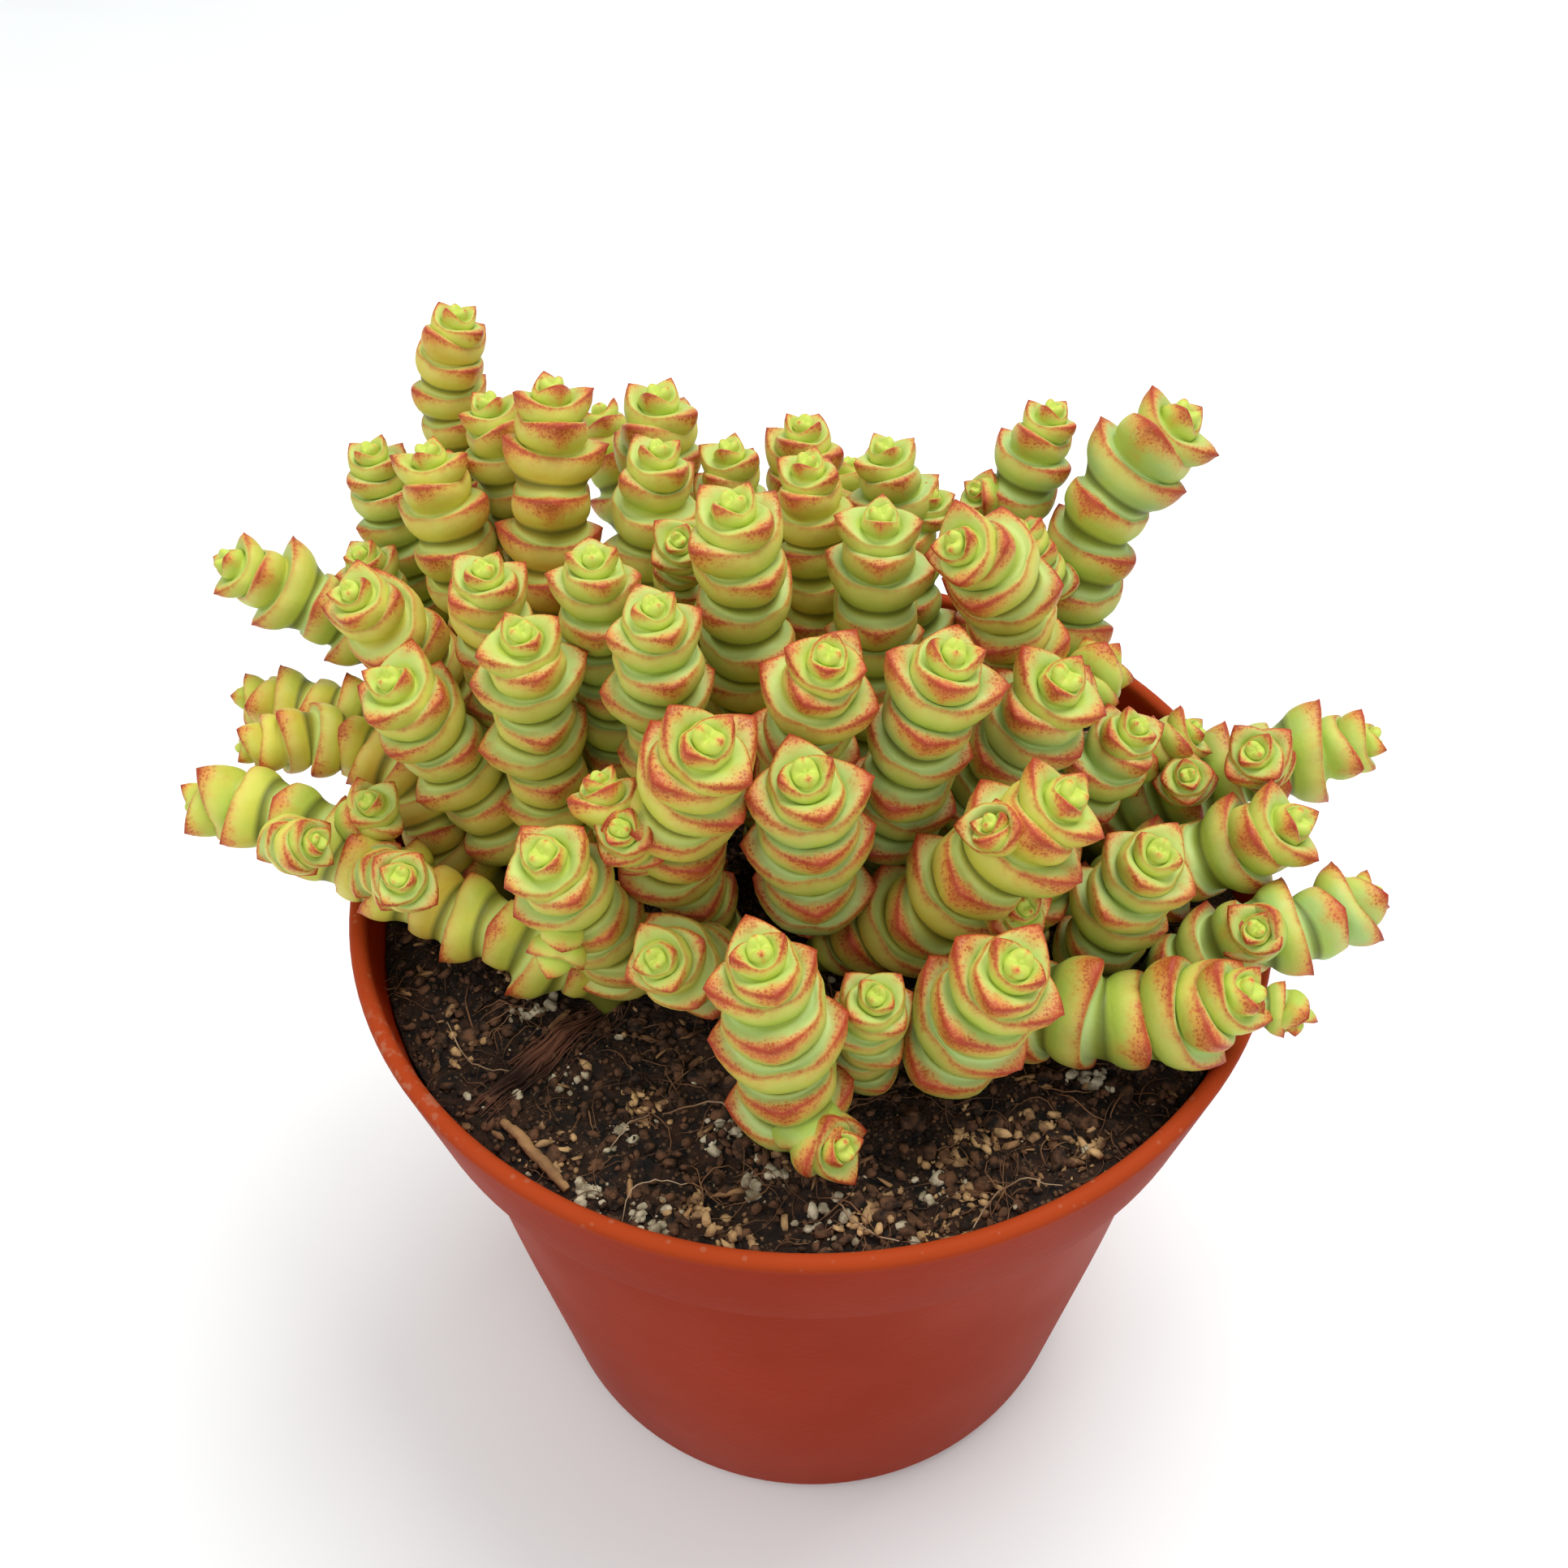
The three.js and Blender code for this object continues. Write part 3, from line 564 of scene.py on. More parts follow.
def build_grain() -> bpy.types.NodeTree:
    """Fine relief of two sizes, for a Bump node's height."""
    inputs = {"Place": None, "Scale": 1000.0, "Coarse": 0.5}
    wiring, given, out = new_group(Effect.GRAIN.value, inputs, ["Height"])
    fine = wiring.noise(given["Scale"], 3.0, given["Place"])
    wide = wiring.maths("MULTIPLY", given["Scale"], 0.22)
    coarse = wiring.noise(wide, 2.0, given["Place"])
    share = wiring.maths("MULTIPLY", coarse, given["Coarse"])
    wiring.feed(out["Height"], wiring.maths("ADD", fine, share))
    return wiring.tree


def build_speckles() -> bpy.types.NodeTree:
    """Small irregular dots, one to a cell, as a mask."""
    inputs = {"Place": None, "Scale": 1500.0, "Size": 0.25}
    wiring, given, out = new_group(Effect.SPECKLES.value, inputs, ["Mask"])
    cells = wiring.add("TexVoronoi", {"Vector": given["Place"], "Scale": given["Scale"], "Randomness": 1.0})
    chance = wiring.add("SeparateColor", {"Color": cells.outputs["Color"]}).outputs["Red"]
    size = wiring.maths("MULTIPLY", given["Size"], wiring.maths("ADD", chance, 0.4))
    inside = wiring.maths("SUBTRACT", size, cells.outputs["Distance"])
    wiring.feed(out["Mask"], wiring.ramp(inside, 0.0, 0.12))
    return wiring.tree


def build_clouds() -> bpy.types.NodeTree:
    """Slow changes over the surface, stretched from 0 to 1."""
    wiring, given, out = new_group(Effect.CLOUDS.value, {"Place": None, "Scale": 60.0}, ["Value"])
    value = wiring.noise(given["Scale"], 3.0, given["Place"])
    wiring.feed(out["Value"], wiring.ramp(value, 0.32, 0.68))
    return wiring.tree


def start_material(name: str) -> tuple[bpy.types.Material, Wiring, bpy.types.Node]:
    """Makes an empty material.

    Args:
        name: the material's name.

    Returns:
        The material, the wiring of its tree and its Principled shader.
    """
    material = bpy.data.materials.new(name)
    material.use_nodes = True
    material.node_tree.nodes.clear()
    wiring = Wiring(material.node_tree)
    shader = wiring.add("BsdfPrincipled")
    wiring.add("OutputMaterial", {"Surface": shader.outputs["BSDF"]})
    return material, wiring, shader


def put_bump(wiring: Wiring, shader: bpy.types.Node, height: Socket, depth: float) -> None:
    """Feeds a height, as deep as depth in metres, to a shader's normal."""
    bump = wiring.add("Bump", {"Height": height, "Distance": depth, "Strength": 1.0})
    wiring.feed(shader.inputs["Normal"], bump.outputs["Normal"])


@dataclass(frozen=True)
class LeafSkin:
    """The succulent leaves: green to orange undersides with painted shade in the grooves, pale upper faces,
    red rims.
    """

    name: str = "leaf_skin"
    groove_painted_shade: Colour = (80, 88, 28)
    mint: Colour = (162, 194, 116)
    green: Colour = (172, 194, 78)
    gold: Colour = (206, 202, 76)
    orange: Colour = (206, 156, 60)
    cream: Colour = (220, 208, 112)
    pale_upper: Colour = (184, 206, 128)
    lime: Colour = (190, 208, 84)
    bud_lime: Colour = (196, 214, 92)
    ember: Colour = (216, 130, 56)
    brick_red: Colour = (160, 42, 24)
    rose_red: Colour = (190, 68, 50)
    roughness: float = 0.46
    specular: float = 0.3
    bump_depth: float = 0.00005
    freckles_to_a_metre: float = 3000.0

    def underside(self, wiring: Wiring, place: Socket, mottle: Socket) -> Socket:
        """The colour of the undersides: painted shade in the grooves between the leaf pairs and on the
        stalk, then mint, green, gold or orange.

        Args:
            wiring: the material's wiring.
            place: the place on the surface.
            mottle: slow cloudy values.

        Returns:
            The colour.
        """
        blush, tone = wiring.attribute("blush"), wiring.attribute("tone")
        clouds = wiring.group(Effect.CLOUDS.group(), {"Place": place, "Scale": 75.0}, "Value")
        warmth = wiring.maths("MULTIPLY_ADD", clouds, 0.35, tone)
        warmth = wiring.maths("MULTIPLY_ADD", mottle, 0.3, warmth)
        skin = wiring.mix(wiring.ramp(warmth, 0.1, 0.45), linear(self.mint), linear(self.green))
        skin = wiring.mix(wiring.ramp(warmth, 0.5, 1.05), skin, linear(self.gold))
        skin = wiring.mix(wiring.ramp(warmth, 0.85, 1.6), skin, linear(self.orange))
        skin = wiring.mix(wiring.ramp(blush, 0.65, 1.1, (0.0, 0.6)), skin, linear(self.cream))
        # Where blush is low, low on each pair and on the stalk, the dark colour is painted shade in the
        # grooves.
        return wiring.mix(wiring.ramp(blush, 0.0, 0.4), linear(self.groove_painted_shade), skin)

    def edge_line(self, wiring: Wiring, strength: Socket, coarse: Socket) -> Socket:
        """The slim red line along the rim, broken here and there.

        Args:
            wiring: the material's wiring.
            strength: how red this part of the leaf is.
            coarse: cloudy values that make the line ragged.

        Returns:
            The line's mask.
        """
        ragged = wiring.maths("SUBTRACT", coarse, 0.5)
        reach = wiring.maths("MULTIPLY_ADD", ragged, 0.35, wiring.attribute("rim"))
        line = wiring.ramp(reach, 0.6, 1.0)
        return wiring.maths("MULTIPLY", line, wiring.ramp(strength, 0.1, 0.9, (0.25, 1.0)), clamp=True)

    def flush(self, wiring: Wiring, strength: Socket, coarse: Socket) -> Socket:
        """How far the warm colour spreads from the tip down the rim's outer side.

        Args:
            wiring: the material's wiring.
            strength: how red this part of the leaf is.
            coarse: cloudy values that make its border uneven.

        Returns:
            The spread, from about 0 up to more than 1 at a red tip.
        """
        near_tip = wiring.maths("MULTIPLY", wiring.attribute("blush"), wiring.attribute("point"))
        value = wiring.maths("MULTIPLY_ADD", near_tip, 0.45, wiring.attribute("rim"))
        value = wiring.maths("MULTIPLY", value, strength)
        return wiring.maths("MULTIPLY_ADD", wiring.maths("SUBTRACT", coarse, 0.5), 0.4, value)

    def freckles(self, wiring: Wiring, place: Socket, flush: Socket, fine: Socket) -> Socket:
        """Red freckles, closer together where the flush is stronger, and a red tip.

        Args:
            wiring: the material's wiring.
            place: the place on the surface.
            flush: how far the warm colour spreads.
            fine: cloudy values that break up the red tip.

        Returns:
            The mask of the red.
        """
        inputs = {"Place": place, "Scale": self.freckles_to_a_metre, "Size": 0.5}
        dots = wiring.group(Effect.SPECKLES.group(), inputs, "Mask")
        dots = wiring.maths("MULTIPLY", dots, wiring.ramp(flush, 0.15, 0.7, (0.0, 0.85)))
        patches = wiring.ramp(fine, 0.36, 0.62, (0.45, 1.1))
        solid = wiring.maths("MULTIPLY", wiring.ramp(flush, 0.4, 1.2), patches)
        return wiring.maths("MAXIMUM", dots, solid, clamp=True)

    def build(self) -> bpy.types.Material:
        """Makes the material from the pieces' own numbers, which the stems' rings give."""
        material, wiring, shader = start_material(self.name)
        place = wiring.place()
        mottle = wiring.noise(380.0, 3.0, place)
        coarse = wiring.noise(900.0, 2.0, place)
        fine = wiring.noise(5200.0, 2.0, place)
        upper, age, redness = (wiring.attribute(n) for n in ("upper", "age", "redness"))
        skin = self.underside(wiring, place, mottle)
        face = wiring.mix(wiring.ramp(wiring.attribute("tone"), 0.1, 1.1, (0.0, 0.6)),
                          linear(self.pale_upper), linear(self.gold))
        skin = wiring.mix(wiring.ramp(upper, 0.25, 0.9), skin, face)
        skin = wiring.mix(wiring.ramp(age, 0.25, 0.95, (0.65, 0.0)), skin, linear(self.lime))
        skin = wiring.mix(wiring.ramp(age, 0.0, 0.3, (0.8, 0.0)), skin, linear(self.bud_lime))
        point = wiring.attribute("point")
        strength = wiring.maths("MULTIPLY", wiring.maths("MULTIPLY_ADD", point, 0.75, 0.4),
                                wiring.maths("MULTIPLY_ADD", redness, 0.5, 0.5))
        flush = self.flush(wiring, strength, coarse)
        red = self.freckles(wiring, place, flush, fine)
        line = self.edge_line(wiring, strength, coarse)
        rose = wiring.mix(wiring.ramp(mottle, 0.4, 0.6), linear(self.brick_red), linear(self.rose_red))
        skin = wiring.mix(wiring.ramp(flush, 0.02, 0.7, (0.0, 0.75)), skin, linear(self.ember))
        skin = wiring.mix(wiring.maths("MULTIPLY", red, 0.85), skin, rose)
        skin = wiring.mix(wiring.maths("MULTIPLY", line, 0.75), skin, linear(self.brick_red))
        wiring.feed(shader.inputs["Base Color"], skin)
        rough = wiring.ramp(mottle, 0.3, 0.7, (self.roughness, self.roughness + 0.14))
        wiring.feed(shader.inputs["Roughness"], rough)
        shader.inputs["Specular IOR Level"].default_value = self.specular
        inputs = {"Place": place, "Scale": 1700.0, "Coarse": 1.2}
        put_bump(wiring, shader, wiring.group(Effect.GRAIN.group(), inputs, "Height"), self.bump_depth)
        return material


@dataclass(frozen=True)
class PotPlastic:
    """Satin terracotta-coloured plastic with a painted highlight along its lip, which is dusty in places."""

    name: str = "pot_plastic"
    body: Colour = (146, 40, 6)
    shade: Colour = (132, 34, 4)
    # A lighter colour in a band just under the rim's top: painted highlight along the lip.
    lip_painted_highlight: Colour = (180, 78, 40)
    dust: Colour = (170, 124, 98)
    roughness: float = 0.42
    specular: float = 0.03
    bump_depth: float = 0.00004
    lip_highlight_band: tuple[float, float] = (1.6, 0.2)
    dusty_spot: Point = (-41.0, -30.0, 85.0)
    dusty_reach: float = 15.0

    def build(self) -> bpy.types.Material:
        """Makes the material."""
        material, wiring, shader = start_material(self.name)
        place = wiring.place()
        clouds = wiring.group(Effect.CLOUDS.group(), {"Place": place, "Scale": 28.0}, "Value")
        colour = wiring.mix(wiring.maths("MULTIPLY", clouds, 0.55), linear(self.body), linear(self.shade))
        height = wiring.add("SeparateXYZ", {"Vector": place}).outputs["Z"]
        # The lighter band along the top of the lip is painted highlight.
        lip = wiring.ramp(height, *((POT_HEIGHT - below) * MM for below in self.lip_highlight_band))
        colour = wiring.mix(wiring.maths("MULTIPLY", lip, 0.5), colour, linear(self.lip_painted_highlight))
        spot = tuple(part * MM for part in self.dusty_spot)
        away = wiring.add("VectorMath", {0: place, 1: spot}, operation="DISTANCE").outputs["Value"]
        patch = wiring.ramp(away, self.dusty_reach * MM, 0.2 * self.dusty_reach * MM)
        scuffs = wiring.ramp(wiring.noise(900.0, 4.0, place), 0.5, 0.66)
        dusty = wiring.maths("MULTIPLY", wiring.maths("MULTIPLY", patch, scuffs), 0.4)
        inputs = {"Place": place, "Scale": 700.0, "Size": 0.22}
        specks = wiring.group(Effect.SPECKLES.group(), inputs, "Mask")
        lip_dust = wiring.maths("MULTIPLY", wiring.maths("MULTIPLY", specks, lip), 0.25)
        dusty = wiring.maths("MAXIMUM", dusty, lip_dust)
        colour = wiring.mix(dusty, colour, linear(self.dust))
        wiring.feed(shader.inputs["Base Color"], colour)
        rough = wiring.maths("MULTIPLY_ADD", clouds, 0.08, self.roughness)
        wiring.feed(shader.inputs["Roughness"], wiring.maths("MULTIPLY_ADD", dusty, 0.4, rough))
        shader.inputs["Specular IOR Level"].default_value = self.specular
        grain = wiring.group(Effect.GRAIN.group(), {"Place": place, "Scale": 900.0, "Coarse": 0.8}, "Height")
        put_bump(wiring, shader, grain, self.bump_depth)
        return material


@dataclass(frozen=True)
class EarthyFinish:
    """A rough matter of two colours: soil, perlite, bark or coir."""

    name: str
    dark: Colour
    light: Colour
    cloud_scale: float
    grain_scale: float
    bump_depth: float
    roughness: float = 0.9
    specular: float = 0.3
    fleck: Colour = (150, 118, 86)
    fleck_share: float = 0.0

    def build(self) -> bpy.types.Material:
        """Makes the material."""
        material, wiring, shader = start_material(self.name)
        place = wiring.place()
        clouds = wiring.group(Effect.CLOUDS.group(), {"Place": place, "Scale": self.cloud_scale}, "Value")
        colour = wiring.mix(clouds, linear(self.dark), linear(self.light))
        if self.fleck_share > 0.0:
            inputs = {"Place": place, "Scale": self.grain_scale * 0.8, "Size": 0.3}
            dots = wiring.group(Effect.SPECKLES.group(), inputs, "Mask")
            colour = wiring.mix(wiring.maths("MULTIPLY", dots, self.fleck_share), colour, linear(self.fleck))
        wiring.feed(shader.inputs["Base Color"], colour)
        low, high = self.roughness - 0.12, min(1.0, self.roughness + 0.08)
        wiring.feed(shader.inputs["Roughness"], wiring.ramp(clouds, 0.0, 1.0, (low, high)))
        shader.inputs["Specular IOR Level"].default_value = self.specular
        inputs = {"Place": place, "Scale": self.grain_scale, "Coarse": 1.4}
        put_bump(wiring, shader, wiring.group(Effect.GRAIN.group(), inputs, "Height"), self.bump_depth)
        return material


class Earth(Enum):
    """The finishes of the soil and of what lies on it."""

    SOIL = EarthyFinish("soil_mix", (14, 9, 7), (60, 40, 28), 520.0, 1900.0, 0.0008, fleck_share=0.35)
    CRUMB = EarthyFinish("soil_crumbs", (18, 12, 8), (112, 78, 55), 620.0, 2200.0, 0.0003)
    PERLITE = EarthyFinish("perlite", (132, 120, 94), (214, 202, 174), 640.0, 2400.0, 0.0002)
    TAN = EarthyFinish("tan_grains", (96, 64, 42), (206, 168, 118), 420.0, 2200.0, 0.0002)
    BARK = EarthyFinish("bark_chips", (74, 46, 30), (178, 136, 92), 170.0, 2000.0, 0.0002)
    COIR = EarthyFinish("coir", (44, 27, 19), (142, 102, 70), 110.0, 1400.0, 0.00005, roughness=0.75)
    BUNDLE = EarthyFinish("fibre_bundle", (48, 28, 20), (118, 76, 56), 160.0, 1600.0, 0.00005,
                          roughness=0.75)
    ROOT = EarthyFinish("rootlets", (128, 96, 70), (196, 170, 138), 140.0, 1600.0, 0.00005, roughness=0.7)


@dataclass(frozen=True)
class StudioPaper:
    """The pale paper that the pot stands on."""

    name: str = "studio_paper"
    light: Colour = (249, 252, 252)
    shade: Colour = (244, 247, 247)

    def build(self) -> bpy.types.Material:
        """Makes the material."""
        material, wiring, shader = start_material(self.name)
        clouds = wiring.group(Effect.CLOUDS.group(), {"Place": wiring.place(), "Scale": 6.0}, "Value")
        colour = wiring.mix(clouds, linear(self.light), linear(self.shade))
        wiring.feed(shader.inputs["Base Color"], colour)
        shader.inputs["Roughness"].default_value = 0.9
        return material


class Finishes:
    """Every material of the scene, made once and handed out by name."""

    def __init__(self) -> None:
        """Builds the materials."""
        self.leaf = LeafSkin().build()
        self.pot = PotPlastic().build()
        self.paper = StudioPaper().build()
        self.earth = {kind: kind.value.build() for kind in Earth}


def new_piece(name: str, bm: bmesh.types.BMesh, material: bpy.types.Material) -> bpy.types.Object:
    """Turns a finished bmesh into a smooth object.

    Args:
        name: the piece's name.
        bm: its mesh in metres, which is freed.
        material: its finish.

    Returns:
        The new object, linked to the scene.
    """
    mesh = bpy.data.meshes.new(name)
    bm.to_mesh(mesh)
    bm.free()
    mesh.shade_smooth()
    mesh.materials.append(material)
    piece = bpy.data.objects.new(name, mesh)
    bpy.context.scene.collection.objects.link(piece)
    return piece


def dress(piece: bpy.types.Object, slot: str, *nodes: str) -> bpy.types.Object:
    """Puts a piece on the pot's body and hides the solids that it stands for.

    Args:
        piece: the finished piece.
        slot: not used.
        nodes: the solids that it replaces, if any.

    Returns:
        The same piece.
    """
    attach(piece, "root")
    if nodes:
        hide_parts(*nodes)
    LOG.info("%s: %d faces before subdivision", piece.name, len(piece.data.polygons))
    return piece


def subdivide(piece: bpy.types.Object, levels: int) -> None:
    """Adds a live subdivision surface, the same in view and render.

    Args:
        piece: the piece that it rounds.
        levels: how many times each face is divided.
    """
    modifier = piece.modifiers.new("rounding", "SUBSURF")
    modifier.levels = levels
    modifier.render_levels = levels


def lathe(profile: list[Point], steps: int) -> bmesh.types.BMesh:
    """Turns a profile about the upright axis.

    Args:
        profile: (radius, height) points in millimetres, from the axis and back to it.
        steps: the number of faces round.

    Returns:
        A closed bmesh in metres.
    """
    bm = bmesh.new()
    verts = [bm.verts.new((radius * MM, 0.0, z * MM)) for radius, z in profile]
    edges = [bm.edges.new(pair) for pair in zip(verts, verts[1:])]
    bmesh.ops.spin(bm, geom=[*verts, *edges], cent=(0, 0, 0), axis=(0, 0, 1), dvec=(0, 0, 0),
                   angle=math.tau, steps=steps, use_merge=True, use_duplicate=False)
    bmesh.ops.remove_doubles(bm, verts=bm.verts[:], dist=WELD_DISTANCE)
    bmesh.ops.recalc_face_normals(bm, faces=bm.faces[:])
    return bm


def rounded(corners: list[Point], steps: int = 5) -> list[Point]:
    """Rounds the corners of an open outline.

    Args:
        corners: (radius, height, rounding) of each corner, in millimetres.
        steps: the number of segments in each rounding.

    Returns:
        The outline's points with each rounded corner as an arc.
    """
    points: list[Point] = []
    for index, (x, z, rounding) in enumerate(corners):
        here = Vector((x, z))
        if rounding == 0.0 or index in (0, len(corners) - 1):
            points.append((x, z))
            continue
        back = (Vector(corners[index - 1][:2]) - here).normalized()
        ahead = (Vector(corners[index + 1][:2]) - here).normalized()
        half = back.angle(ahead) / 2
        leave = rounding / math.tan(half)
        middle = here + (back + ahead).normalized() * (rounding / math.sin(half))
        first, last = here + back * leave - middle, here + ahead * leave - middle
        turn = first.angle_signed(last)
        for step in range(steps + 1):
            arm = first.copy()
            arm.rotate(Matrix.Rotation(-turn * step / steps, 2))
            points.append(tuple(middle + arm))
    return points


@dataclass
class NurseryPot:
    """The thin-walled pot with its stepped collar, rounded lip and drain holes."""

    finishes: Finishes
    collar_height: float = 15.4
    collar_foot_radius: float = 49.3
    body_top_radius: float = 46.3
    foot_radius: float = 37.3
    middle_bulge: float = 0.4
    collar_step: float = 0.5
    wall: float = 1.2
    floor: float = 1.6
    foot_rounding: float = 2.4
    lip_rounding: float = 0.9
    bulge_radius: float = 400.0
    step_roundings: tuple[float, float] = (0.4, 0.5)
    inner_rounding: float = 1.0
    drain_holes: int = 6
    drain_radius: float = 3.5
    drain_circle: float = 23.0
    steps: int = 144
    sharp_angle: float = math.radians(35)

    def profile(self) -> list[Point]:
        """The wall's outline, from the middle of the underside round to the floor's."""
        collar = POT_HEIGHT - self.collar_height
        middle = (self.foot_radius + self.body_top_radius) / 2 + self.middle_bulge
        inner_lip = RIM_RADIUS - LIP_WIDTH
        wall, inside, bulge = self.wall, self.inner_rounding, self.bulge_radius
        under_step, over_step = self.step_roundings
        return rounded([
            (0.0, 0.0, 0.0),
            (self.foot_radius, 0.0, self.foot_rounding),
            (middle, collar / 2, bulge),
            (self.body_top_radius, collar - self.collar_step, under_step),
            (self.collar_foot_radius, collar, over_step),
            (RIM_RADIUS, POT_HEIGHT, self.lip_rounding),
            (inner_lip, POT_HEIGHT, self.lip_rounding),
            (self.collar_foot_radius - wall, collar + wall, inside),
            (self.body_top_radius - wall, collar - self.collar_step, inside),
            (middle - wall, collar / 2, bulge),
            (self.foot_radius - wall, self.floor, self.foot_rounding),
            (0.0, self.floor, 0.0),
        ])

    def build(self) -> bpy.types.Object:
        """Turns the wall and cuts the drain holes."""
        piece = new_piece("nursery_pot", lathe(self.profile(), self.steps), self.finishes.pot)
        cutter = bmesh.new()
        for number in range(self.drain_holes):
            angle = (number + 0.5) * math.tau / self.drain_holes
            place = Vector((math.cos(angle), math.sin(angle), 0.0)) * self.drain_circle * MM
            bmesh.ops.create_cone(cutter, cap_ends=True, segments=28, radius1=self.drain_radius * MM,
                                  radius2=self.drain_radius * MM, depth=6 * self.floor * MM,
                                  matrix=Matrix.Translation(place))
        holes = new_piece("drain_holes", cutter, self.finishes.pot)
        modifier = piece.modifiers.new("drain_holes", "BOOLEAN")
        modifier.operation, modifier.solver, modifier.object = "DIFFERENCE", "EXACT", holes
        cut = bpy.data.meshes.new_from_object(piece.evaluated_get(bpy.context.evaluated_depsgraph_get()))
        piece.modifiers.clear()
        piece.data = cut
        piece.data.shade_smooth()
        piece.data.set_sharp_from_angle(angle=self.sharp_angle)
        bpy.data.objects.remove(holes)
        return dress(piece, "pot_plastic", "pot")


@dataclass
class PottingSoil:
    """The soil's crumbly surface, with what is mixed into it lying on top."""

    finishes: Finishes
    edge: float = 49.2
    floor_radius: float = 34.0
    floor_height: float = 2.0
    shoulder_inset: float = 4.2
    shoulder_height: float = POT_HEIGHT - 17.0
    edge_fade: float = 5.0
    noise_layer: float = 7.3
    steps: int = 176
    rings: int = 68
    crumble: tuple[tuple[float, float], ...] = ((0.16, 0.6), (0.42, 0.8), (1.1, 0.55))

    def height(self, x: float, y: float) -> float:
        """Height of the crumbly surface over a place, all in millimetres.

        Args:
            x: the place, to the right of the pot's axis.
            y: the place, behind the pot's axis.

        Returns:
            The height over the pot's foot.
        """
        inwards = min(1.0, max(0.0, self.edge_fade * (1.0 - math.hypot(x, y) / self.edge)))
        bumps = sum(depth * noise.noise(Vector((x * scale, y * scale, self.noise_layer * scale)))
                    for scale, depth in self.crumble)
        return SOIL_TOP + (soil_height(x, y) - SOIL_TOP) * inwards + bumps

    def build(self) -> bpy.types.Object:
        """Turns the plug and crumbles its top."""
        profile = [(0.0, self.floor_height), (self.floor_radius, self.floor_height)]
        profile += [(self.edge - self.shoulder_inset, self.shoulder_height)]
        profile += [(self.edge * ring / self.rings, SOIL_TOP) for ring in range(self.rings, -1, -1)]
        bm = lathe(profile, self.steps)
        for vert in bm.verts:
            if vert.co.z > (SOIL_TOP - 1.0) * MM:
                vert.co.z = self.height(vert.co.x / MM, vert.co.y / MM) * MM
        piece = new_piece("soil_bed", bm, self.finishes.earth[Earth.SOIL])
        return dress(piece, "soil", "soil")


@dataclass(frozen=True)
class GrainKind:
    """A kind of grain lying on the soil; sizes in millimetres.

    heaps are the places round which a share of the grains lies, within heap_reach.
    """

    name: str
    finish: Earth
    count: int
    size: tuple[float, float]
    stretch: tuple[float, float]
    flatness: tuple[float, float]
    detail: int
    jitter: float
    sunk: float
    heaps: tuple[Point, ...] = ()
    heap_share: float = 0.0
    heap_reach: float = 2.0


PALE_HEAPS = ((-31, -18), (-25.3, -26.8), (-20, -34), (-22, -41), (-16, -44),
              (-9, -34.5), (-5, -39), (1, -44), (12, -40), (30, -27))
TAN_HEAPS = ((-12, -42), (-3, -36), (14, -36), (17, -34), (16.5, -41), (13, -45), (24, -33),
             (-27, -36), (-18, -30), (-38, -22), (28, -36), (-8, -46), (6, -43), (-33, -12))

GRAIN_KINDS = (
    GrainKind("soil_crumbs", Earth.CRUMB, 5600, (0.13, 0.6), (1.0, 2.0), (0.6, 1.0), 1, 0.36, 0.25),
    GrainKind("soil_clods", Earth.CRUMB, 520, (0.45, 1.05), (1.0, 1.7), (0.6, 0.9), 2, 0.2, 0.4),
    GrainKind("perlite_grains", Earth.PERLITE, 420, (0.1, 0.6), (1.0, 1.8), (0.6, 1.0), 2, 0.2, 0.25,
              PALE_HEAPS, 0.6, 2.2),
    GrainKind("tan_grains", Earth.TAN, 900, (0.1, 0.58), (1.0, 2.4), (0.6, 0.9), 1, 0.3, 0.2,
              TAN_HEAPS, 0.62, 2.8),
    GrainKind("bark_chips", Earth.BARK, 260, (0.2, 0.5), (2.0, 6.5), (0.25, 0.6), 1, 0.22, 0.2),
)


